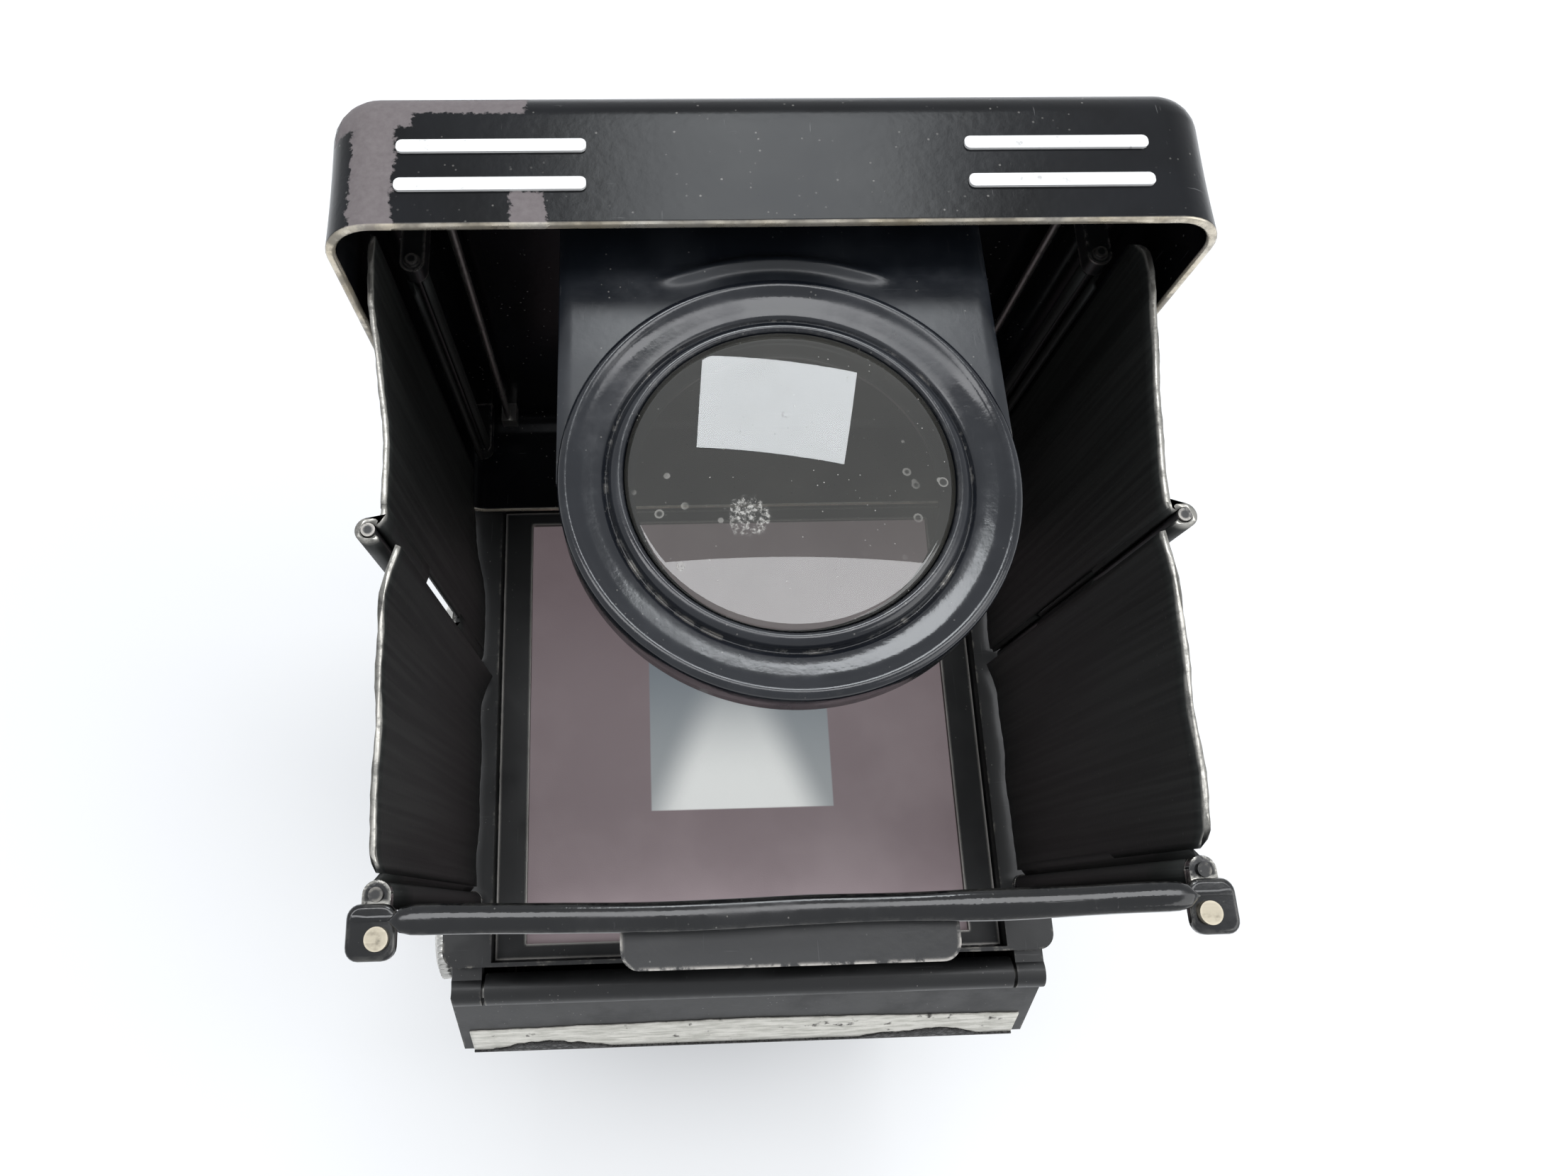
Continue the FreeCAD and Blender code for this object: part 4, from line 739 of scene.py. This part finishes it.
for x0, x1 in ((-HALF, -8), (8, HALF)):
    curl = [(1.0, 0.0), (0.6, 0.35)] + arc(0, 0, 1.05, 40, 320, 24)
    flat = Shape().ribbon(curl, 0.66, x0, x1, rows=3)
    first = len(leaf_shape.verts)
    leaf_shape.verts.extend(tilted(z, x, y) for x, y, z in flat.verts)
    leaf_shape.faces.extend(tuple(v + first for v in f) for f in flat.faces)
piece("magnifier_leaf", "magnifier", leaf_shape, [MATERIALS["plate_blue"]], hides=("magnifier_plate",))

# ---------------- folding leaves: thin wavy sheet with rolled knuckles
leaf_low, leaf_high = span("left_front_leaf")
rear_high = span("left_rear_leaf")[1]
pin_m_low, pin_m_high = span("left_mid_pin")
pin_m = ((pin_m_low.x + pin_m_high.x) / 2, (pin_m_low.y + pin_m_high.y) / 2)
face_x = (leaf_low.x + leaf_high.x) / 2 - 0.6
pin_a_y = leaf_low.y + 1.2
pin_b_y = rear_high.y - 1.2
base_z = leaf_low.z
# Heights where the rolled knuckles on the mid pin change from one sheet to the other.
MID = (base_z, base_z + 17, base_z + 34, pin_m_high.z - 0.2)
front_top, mid_top, end_top = leaf_high.z, MID[3], rear_high.z - 2.4
LEAF = 0.5
KNUCKLE = 0.93
KNUCKLE_SHEET = 0.46


def folding_leaf(side, sign):
    """Front and rear sheet of one side of the hood, bowed and rippled, with knuckles round the pins."""
    def mirrored(points):
        """Points of the left side, moved to the side being made."""
        return [(sign * x, y) for x, y in points]

    def ripple(x, y, z):
        """Sideways push of a sheet that has lost its flatness, none at the pins."""
        near = min(1.0, min(abs(y - pin_a_y), abs(y - pin_m[1]), abs(y - pin_b_y)) / 5)
        rib = 0.05 * math.sin(y * 3.1 + wave(z * 0.05, y * 0.1, 3, 2))
        return sign * near * (wave(y * 0.16, z * 0.03, 5 + sign * 9, 0.42) + rib * 0.5)

    def front_edge(s):
        """Height of the front sheet's top edge at share s from the lid to the mid pin."""
        if sign < 0:
            soft = 3.2 * max(0.0, 1 - s / 0.14) ** 2
        else:
            soft = 0.8 * max(0.0, 1 - s / 0.10) ** 2
        return front_top + (mid_top - front_top) * s - soft - 0.05

    near_mid, curl = (2.0, 1.3) if sign > 0 else (0.72, 0.75)
    sheet = Shape()
    path = []
    for k in range(41):
        s = k / 40
        fade = min(1.0, max(0.0, (s - 0.08) / 0.8))
        bow = (2.0 if sign > 0 else 1.2) * (1 - fade * fade * (3 - 2 * fade))
        path.append((face_x + bow, pin_a_y + 1.6 + (pin_m[1] - near_mid - pin_a_y - 1.6) * s))
    sheet.ribbon(mirrored(path), LEAF, base_z, front_edge, 26, ripple)
    roll_a = [(face_x, pin_a_y + 2.4), (face_x, pin_a_y + 1.6), (face_x + 0.45, pin_a_y + 1.05)]
    roll_a += arc(face_x, pin_a_y, KNUCKLE, 50, -235, 20)
    sheet.ribbon(mirrored(roll_a), KNUCKLE_SHEET, base_z + 5.4, front_top - 9.4, 6)
    roll_m = [(face_x, pin_m[1] - 2.4), (face_x, pin_m[1] - 1.5)]
    roll_m += arc(pin_m[0], pin_m[1], KNUCKLE, 205, 505, 24)
    for low, high in ((MID[0], MID[1] - 0.2), (MID[2] + 0.2, MID[3])):
        sheet.ribbon(mirrored(roll_m), KNUCKLE_SHEET, low, high, 5)
    piece(side + "_front_sheet", side + "_front", sheet, [MATERIALS["leaf"]],
          hides=(side + "_front_leaf",))

    def rear_edge(s):
        """Height of the rear sheet's top edge at share s from the mid pin to the rear pin."""
        dip = 0.35 * math.sin(min(1.0, s / 0.2) * math.pi)
        return mid_top - 0.35 + (end_top - mid_top) * s - dip - 2.2 * max(0.0, (s - 0.94) / 0.06) ** 2

    sheet = Shape()
    start, end = pin_m[1] + 1.3, pin_b_y - 1.7
    path = []
    for k in range(41):
        y = start + (end - start) * k / 40
        path.append((face_x - curl * max(0.0, 1 - (y - start) / 5.5) ** 2, y))
    sheet.ribbon(mirrored(path), LEAF, base_z, rear_edge, 26, ripple)
    roll_mid = [(face_x - 0.3, pin_m[1] + 2.6), (face_x - 0.2, pin_m[1] + 1.5)]
    roll_mid += arc(pin_m[0], pin_m[1], KNUCKLE, 155, -145, 24)
    sheet.ribbon(mirrored(roll_mid), KNUCKLE_SHEET, MID[1] + 0.2, MID[2] - 0.2, 5)
    roll_b = [(face_x, pin_b_y - 2.4), (face_x, pin_b_y - 1.6), (face_x + 0.45, pin_b_y - 1.05)]
    roll_b += arc(face_x, pin_b_y, KNUCKLE, -50, 235, 20)
    sheet.ribbon(mirrored(roll_b), KNUCKLE_SHEET, base_z + 1.8, end_top - 3.7, 6)
    piece(side + "_rear_sheet", side + "_rear", sheet, [MATERIALS["leaf"]],
          hides=(side + "_rear_leaf",))


folding_leaf("left", 1)
folding_leaf("right", -1)

# ---------------- rear panel: sheet, folded lip, lugs and eyes
panel_low, panel_high = span("rear_panel")
panel_y = span("rear_tab")[0].y - 0.6
panel = Shape()
panel_wide = panel_high.x - panel_low.x - 1.4
back_line = [(panel_low.x + 0.7 + panel_wide * k / 60, panel_y + 0.3) for k in range(61)]
panel.ribbon(back_line, 0.5, panel_low.z, lambda s: panel_high.z - 1.2 + 0.2 * math.sin(9 * s), 12)
lip = []
LIP = 32.6
for k in range(73):
    x = -LIP + 2 * LIP * k / 72
    near = min(LIP - abs(x), 2.4) / 2.4
    round_end = math.sqrt(max(0.0, 1 - (1 - near) ** 2)) if near < 1 else 1.0
    round_end = max(round_end, 0.05)
    wide = 1.2 * round_end * (1 + wave(x * 0.09, 2, 1, 0.16))
    high = 0.52 * (0.25 + 0.75 * round_end)
    mid_y = panel_y + 0.75 + wave(x * 0.05, 7, 1, 0.35)
    mid_h = panel_high.z - 0.62 + wave(x * 0.07, 4, 8, 0.12)
    round_lip = []
    for j in range(14):
        c, s = math.cos(2 * math.pi * j / 14), math.sin(2 * math.pi * j / 14)
        round_lip.append((x, mid_y + wide * c * (1.0 if c < 0 else 0.95),
                          mid_h + high * math.copysign(abs(s) ** 0.8, s)))
    lip.append(round_lip)
panel.loft(lip)
for sign in (1, -1):
    lug_y = panel_high.y - 2.2
    lug = []
    for inset, z in ((0.25, panel_high.z - 2.6), (0.0, panel_high.z - 2.4), (0.0, panel_high.z - 1.85),
                     (0.12, panel_high.z - 1.68), (0.4, panel_high.z - 1.6)):
        lug.append([(sign * (face_x + 0.2) + x, lug_y + y, z)
                    for x, y in outline(4.0 - 2 * inset, 4.4 - 2 * inset, 1.1 - inset * 0.7, 5)])
    panel.loft(lug)
    for z0, z1 in ((panel_low.z + 0.4, panel_low.z + 1.4), (end_top - 3.3, end_top - 2.3)):
        ear = [(sign * (face_x - 1.15), panel_y + 0.3), (sign * (face_x - 1.15), pin_b_y)]
        ear += [(sign * x, y) for x, y in arc(face_x, pin_b_y, 1.15, 180, 360, 12)]
        ear += [(sign * (face_x + 1.15), panel_y + 0.3)]
        panel.loft([[(x, y, z) for x, y in ear] for z in (z0, z0 + 0.1, z1 - 0.1, z1)])
flats(piece("rear_lip_panel", "panel", panel, [MATERIALS["lip"]], hides=("rear_panel",)))

# ---------------- back covering: leatherette with a torn top edge
skin_low, skin_high = span("leather_back")
door_high = span("back_door")[1]
slope_top = (door_high.y - 7.4, door_high.z - 3.0)
slope_end = (skin_high.y - 0.6, skin_high.z + 0.6)


def ragged(x, seed, amount):
    """Height of a torn edge at x: long, middle and short waves."""
    return (wave(x * 0.16, seed, 0, 0.6 * amount) + wave(x * 0.7, seed, 4, 0.4 * amount)
            + wave(x * 2.7, seed, 9, 0.15 * amount))


def covering(name, mat, lines, thick, hides=()):
    """A thin skin over the door; lines gives, for each x, its path of (y, z, outward y, outward z) points."""
    xs = [skin_low.x + (skin_high.x - skin_low.x) * k / 150 for k in range(151)]
    made = Shape()
    rings = []
    for x in xs:
        path = lines(x)
        ring = [(x, y, z) for y, z, oy, oz in path]
        ring += [(x, y + oy * thick, z + oz * thick) for y, z, oy, oz in reversed(path)]
        rings.append(ring)
    made.loft(rings)
    return piece(name, "back", made, [mat], hides=hides)


flat_y = skin_high.y - 0.6
step_y = skin_low.y
# Heights of the slope under the bulge of the door, less the covering's own drop.
SKIN_DROP = 0.9
bulge_foot = 77.5 - SKIN_DROP
bulge_knee = 66 - SKIN_DROP


def leather_line(x):
    """The covering over the bulge and down the door, under its torn top edge."""
    patch = max(0.0, 1 - abs(abs(x + 2) - 24) / 9) ** 0.5
    top = skin_high.z - 0.4 + ragged(x, 3, 1.2) - 1.2 + 1.4 * patch
    top = min(top, skin_high.z - 0.05)
    points = [(flat_y, top, 1, 0), (flat_y, top - 1.5, 1, 0), (flat_y, 84, 1, 0),
              (flat_y, bulge_foot + 0.3, 1, 0),
              (flat_y - 0.8, bulge_foot - 0.6, 0.8, -0.6), (step_y + 0.9, bulge_knee + 0.5, 0.8, -0.6),
              (step_y, bulge_knee - 0.3, 1, 0), (step_y, 40, 1, 0), (step_y, skin_low.z, 1, 0)]
    return points


covering("torn_leather", MATERIALS["leather"], leather_line, 0.56, hides=("leather_back",))


def paste_line(x):
    """The strip of glue on the slope above the torn edge."""
    top = 1.0 - 0.16 * abs(x) / 36 + ragged(x, 11, 0.05)
    low = -0.02
    points = []
    for k in range(5):
        s = low + (top * 0.42 - low) * k / 4
        y = slope_end[0] + (slope_top[0] - slope_end[0]) * s
        z = slope_end[1] + (slope_top[1] - slope_end[1]) * s
        points.append((y, z, 0.86, 0.5))
    return points


covering("glue_strip", MATERIALS["paste"], paste_line, 0.22)


def shred_line(x):
    """Two shreds of the covering that still cling to the glue."""
    near = max(0.0, 1 - (abs(abs(x - 1) - 25) / 8.5) ** 2)
    size = 0.02 + max(0.0, 0.15 * near + ragged(x, 21, 0.08) - 0.02)
    points = []
    for k in range(4):
        s = -0.02 + size * k / 3
        y = slope_end[0] + (slope_top[0] - slope_end[0]) * s
        z = slope_end[1] + (slope_top[1] - slope_end[1]) * s
        points.append((y, z, 0.86, 0.5))
    return points


covering("torn_edge", MATERIALS["leather"], shred_line, 0.45)


# ---------------- knurled knobs
def knurled(name, body, centre, profile, hides, mat, teeth=56, depth=0.28):
    """Turns a profile of (x, radius, toothed) about the left-right axis; toothed rows carry fine flutes."""
    cy, cz = centre
    count = teeth * 6
    rings = []
    for x, r, toothed in profile:
        ring = []
        for k in range(count):
            a = 2 * math.pi * k / count
            flute = depth * (0.5 + 0.5 * math.cos(teeth * a)) if toothed else 0.0
            ring.append((x, cy + (r - flute) * math.cos(a), cz + (r - flute) * math.sin(a)))
        rings.append(ring)
    made = Shape().loft(rings)
    return flats(piece(name, body, made, [mat], hides=hides))


low, high = span("focus_knob")
centre = ((low.y + high.y) / 2, (low.z + high.z) / 2)
big = high.y - centre[0]
x = high.x
knurled("focus_grip", "focus", centre,
        [(low.x, 2.6, 0), (low.x + 0.4, 3, 0), (26, 3, 0), (26, 4.5, 0), (33, 4.5, 0), (33, 3, 0),
         (x - 11, 3, 0), (x - 11, 4.5, 0), (x - 10, 4.5, 0), (x - 10, big - 0.3, 0), (x - 9.7, big, 0),
         (x - 7.4, big, 0),
         (x - 7, big - 0.4, 0), (x - 7, big - 2.1, 0), (x - 6.7, big - 2, 1), (x - 1.3, big - 2, 1),
         (x - 0.6, big - 2.5, 1), (x - 0.3, big - 3.2, 0), (x - 0.3, big - 5, 0), (x - 0.8, big - 5.6, 0),
         (x - 0.8, 4, 0), (x - 0.1, 3.4, 0),
         (x, 2.6, 0), (x, 0.4, 0)], ("focus_knob",), MATERIALS["nickel"], 72, 0.32)
for label, body in (("spool_knob_upper", "upper_knob"), ("spool_knob_lower", "lower_knob")):
    low, high = span(label)
    centre = ((low.y + high.y) / 2, (low.z + high.z) / 2)
    big = high.y - centre[0]
    x = high.x
    knurled(label + "_grip", body, centre,
            [(low.x, 1.7, 0), (low.x + 0.4, 2.1, 0), (x - 4.5, 2.1, 0), (x - 4.5, 4, 0), (x - 3.8, 4, 0),
             (x - 3.8, big - 0.8, 0), (x - 3.5, big - 0.5, 0), (x - 2.3, big - 0.5, 0),
             (x - 2.2, big - 0.1, 1), (x - 0.7, big, 1), (x - 0.5, big - 0.5, 1), (x - 0.2, big - 1.2, 0),
             (x, big - 2, 0), (x, 0.4, 0)],
            (label,), MATERIALS["nickel"], 40, 0.3)

# ---------------- stage, light and camera
floor_mesh = bpy.data.meshes.new("floor")
floor_mesh.from_pydata([(-3, -3, 0), (3, -3, 0), (3, 3, 0), (-3, 3, 0)], [], [(0, 1, 2, 3)])
floor = bpy.data.objects.new("floor", floor_mesh)
scene.collection.objects.link(floor)
pale = Mat("pale_floor")
pale.set(color=(0.86, 0.86, 0.86), rough=0.9, spec=0.1)
paint(floor, pale.mat)

world = bpy.data.worlds.new("studio")
scene.world = world
world.use_nodes = True
world.node_tree.nodes["Background"].inputs[0].default_value = (0.93, 0.96, 1.0, 1)
world.node_tree.nodes["Background"].inputs[1].default_value = 0.75


def lamp(name, at, towards, across, power, tint=(1, 1, 1)):
    """A soft rectangular lamp whose long side lies level."""
    data = bpy.data.lights.new(name, "AREA")
    data.shape = "RECTANGLE"
    data.size, data.size_y = across
    data.energy = power
    data.color = tint
    obj = bpy.data.objects.new(name, data)
    scene.collection.objects.link(obj)
    obj.location = at
    back = (Vector(at) - Vector(towards)).normalized()
    level = Vector((-back.y, back.x, 0)).normalized() if abs(back.z) < 0.9 else Vector((1, 0, 0))
    level = (level - back * level.dot(back)).normalized()
    side = back.cross(level)
    obj.matrix_world = Matrix(((level.x, side.x, back.x, at[0]), (level.y, side.y, back.y, at[1]),
                               (level.z, side.z, back.z, at[2]), (0, 0, 0, 1)))
    return obj


lamp("window", (-0.102, -0.637, 0.93), (0, -0.01, 0.173), (0.325, 0.24), 2.2, (0.93, 0.97, 1.0))
lamp("ceiling", (-0.05, -0.195, 1.2), (-0.05, -0.15, 0.17), (1.5, 0.30), 6.5, (0.97, 0.98, 1.0))
lamp("soft_side", (-0.9, 0.3, 0.8), (0, 0, 0.12), (0.8, 0.8), 3.5)

camera_data = bpy.data.cameras.new("camera")
camera_data.sensor_width = 36
camera_data.lens = 24.09
camera_data.shift_x = 0.0602
camera_data.shift_y = -0.0083
camera = bpy.data.objects.new("camera", camera_data)
scene.collection.objects.link(camera)
right = Vector((-0.9992, 0.0297, 0.0257))
ahead = Vector((-0.0336, -0.3058, -0.9515)).normalized()
right = (right - ahead * right.dot(ahead)).normalized()
upward = right.cross(ahead).normalized()
eye = Vector((0.01102, 0.02480, 0.25056))
camera.matrix_world = Matrix((
    (right.x, upward.x, -ahead.x, eye.x),
    (right.y, upward.y, -ahead.y, eye.y),
    (right.z, upward.z, -ahead.z, eye.z),
    (0, 0, 0, 1)))
camera_data.clip_start = 0.005
scene.camera = camera
scene.view_settings.view_transform = "Standard"
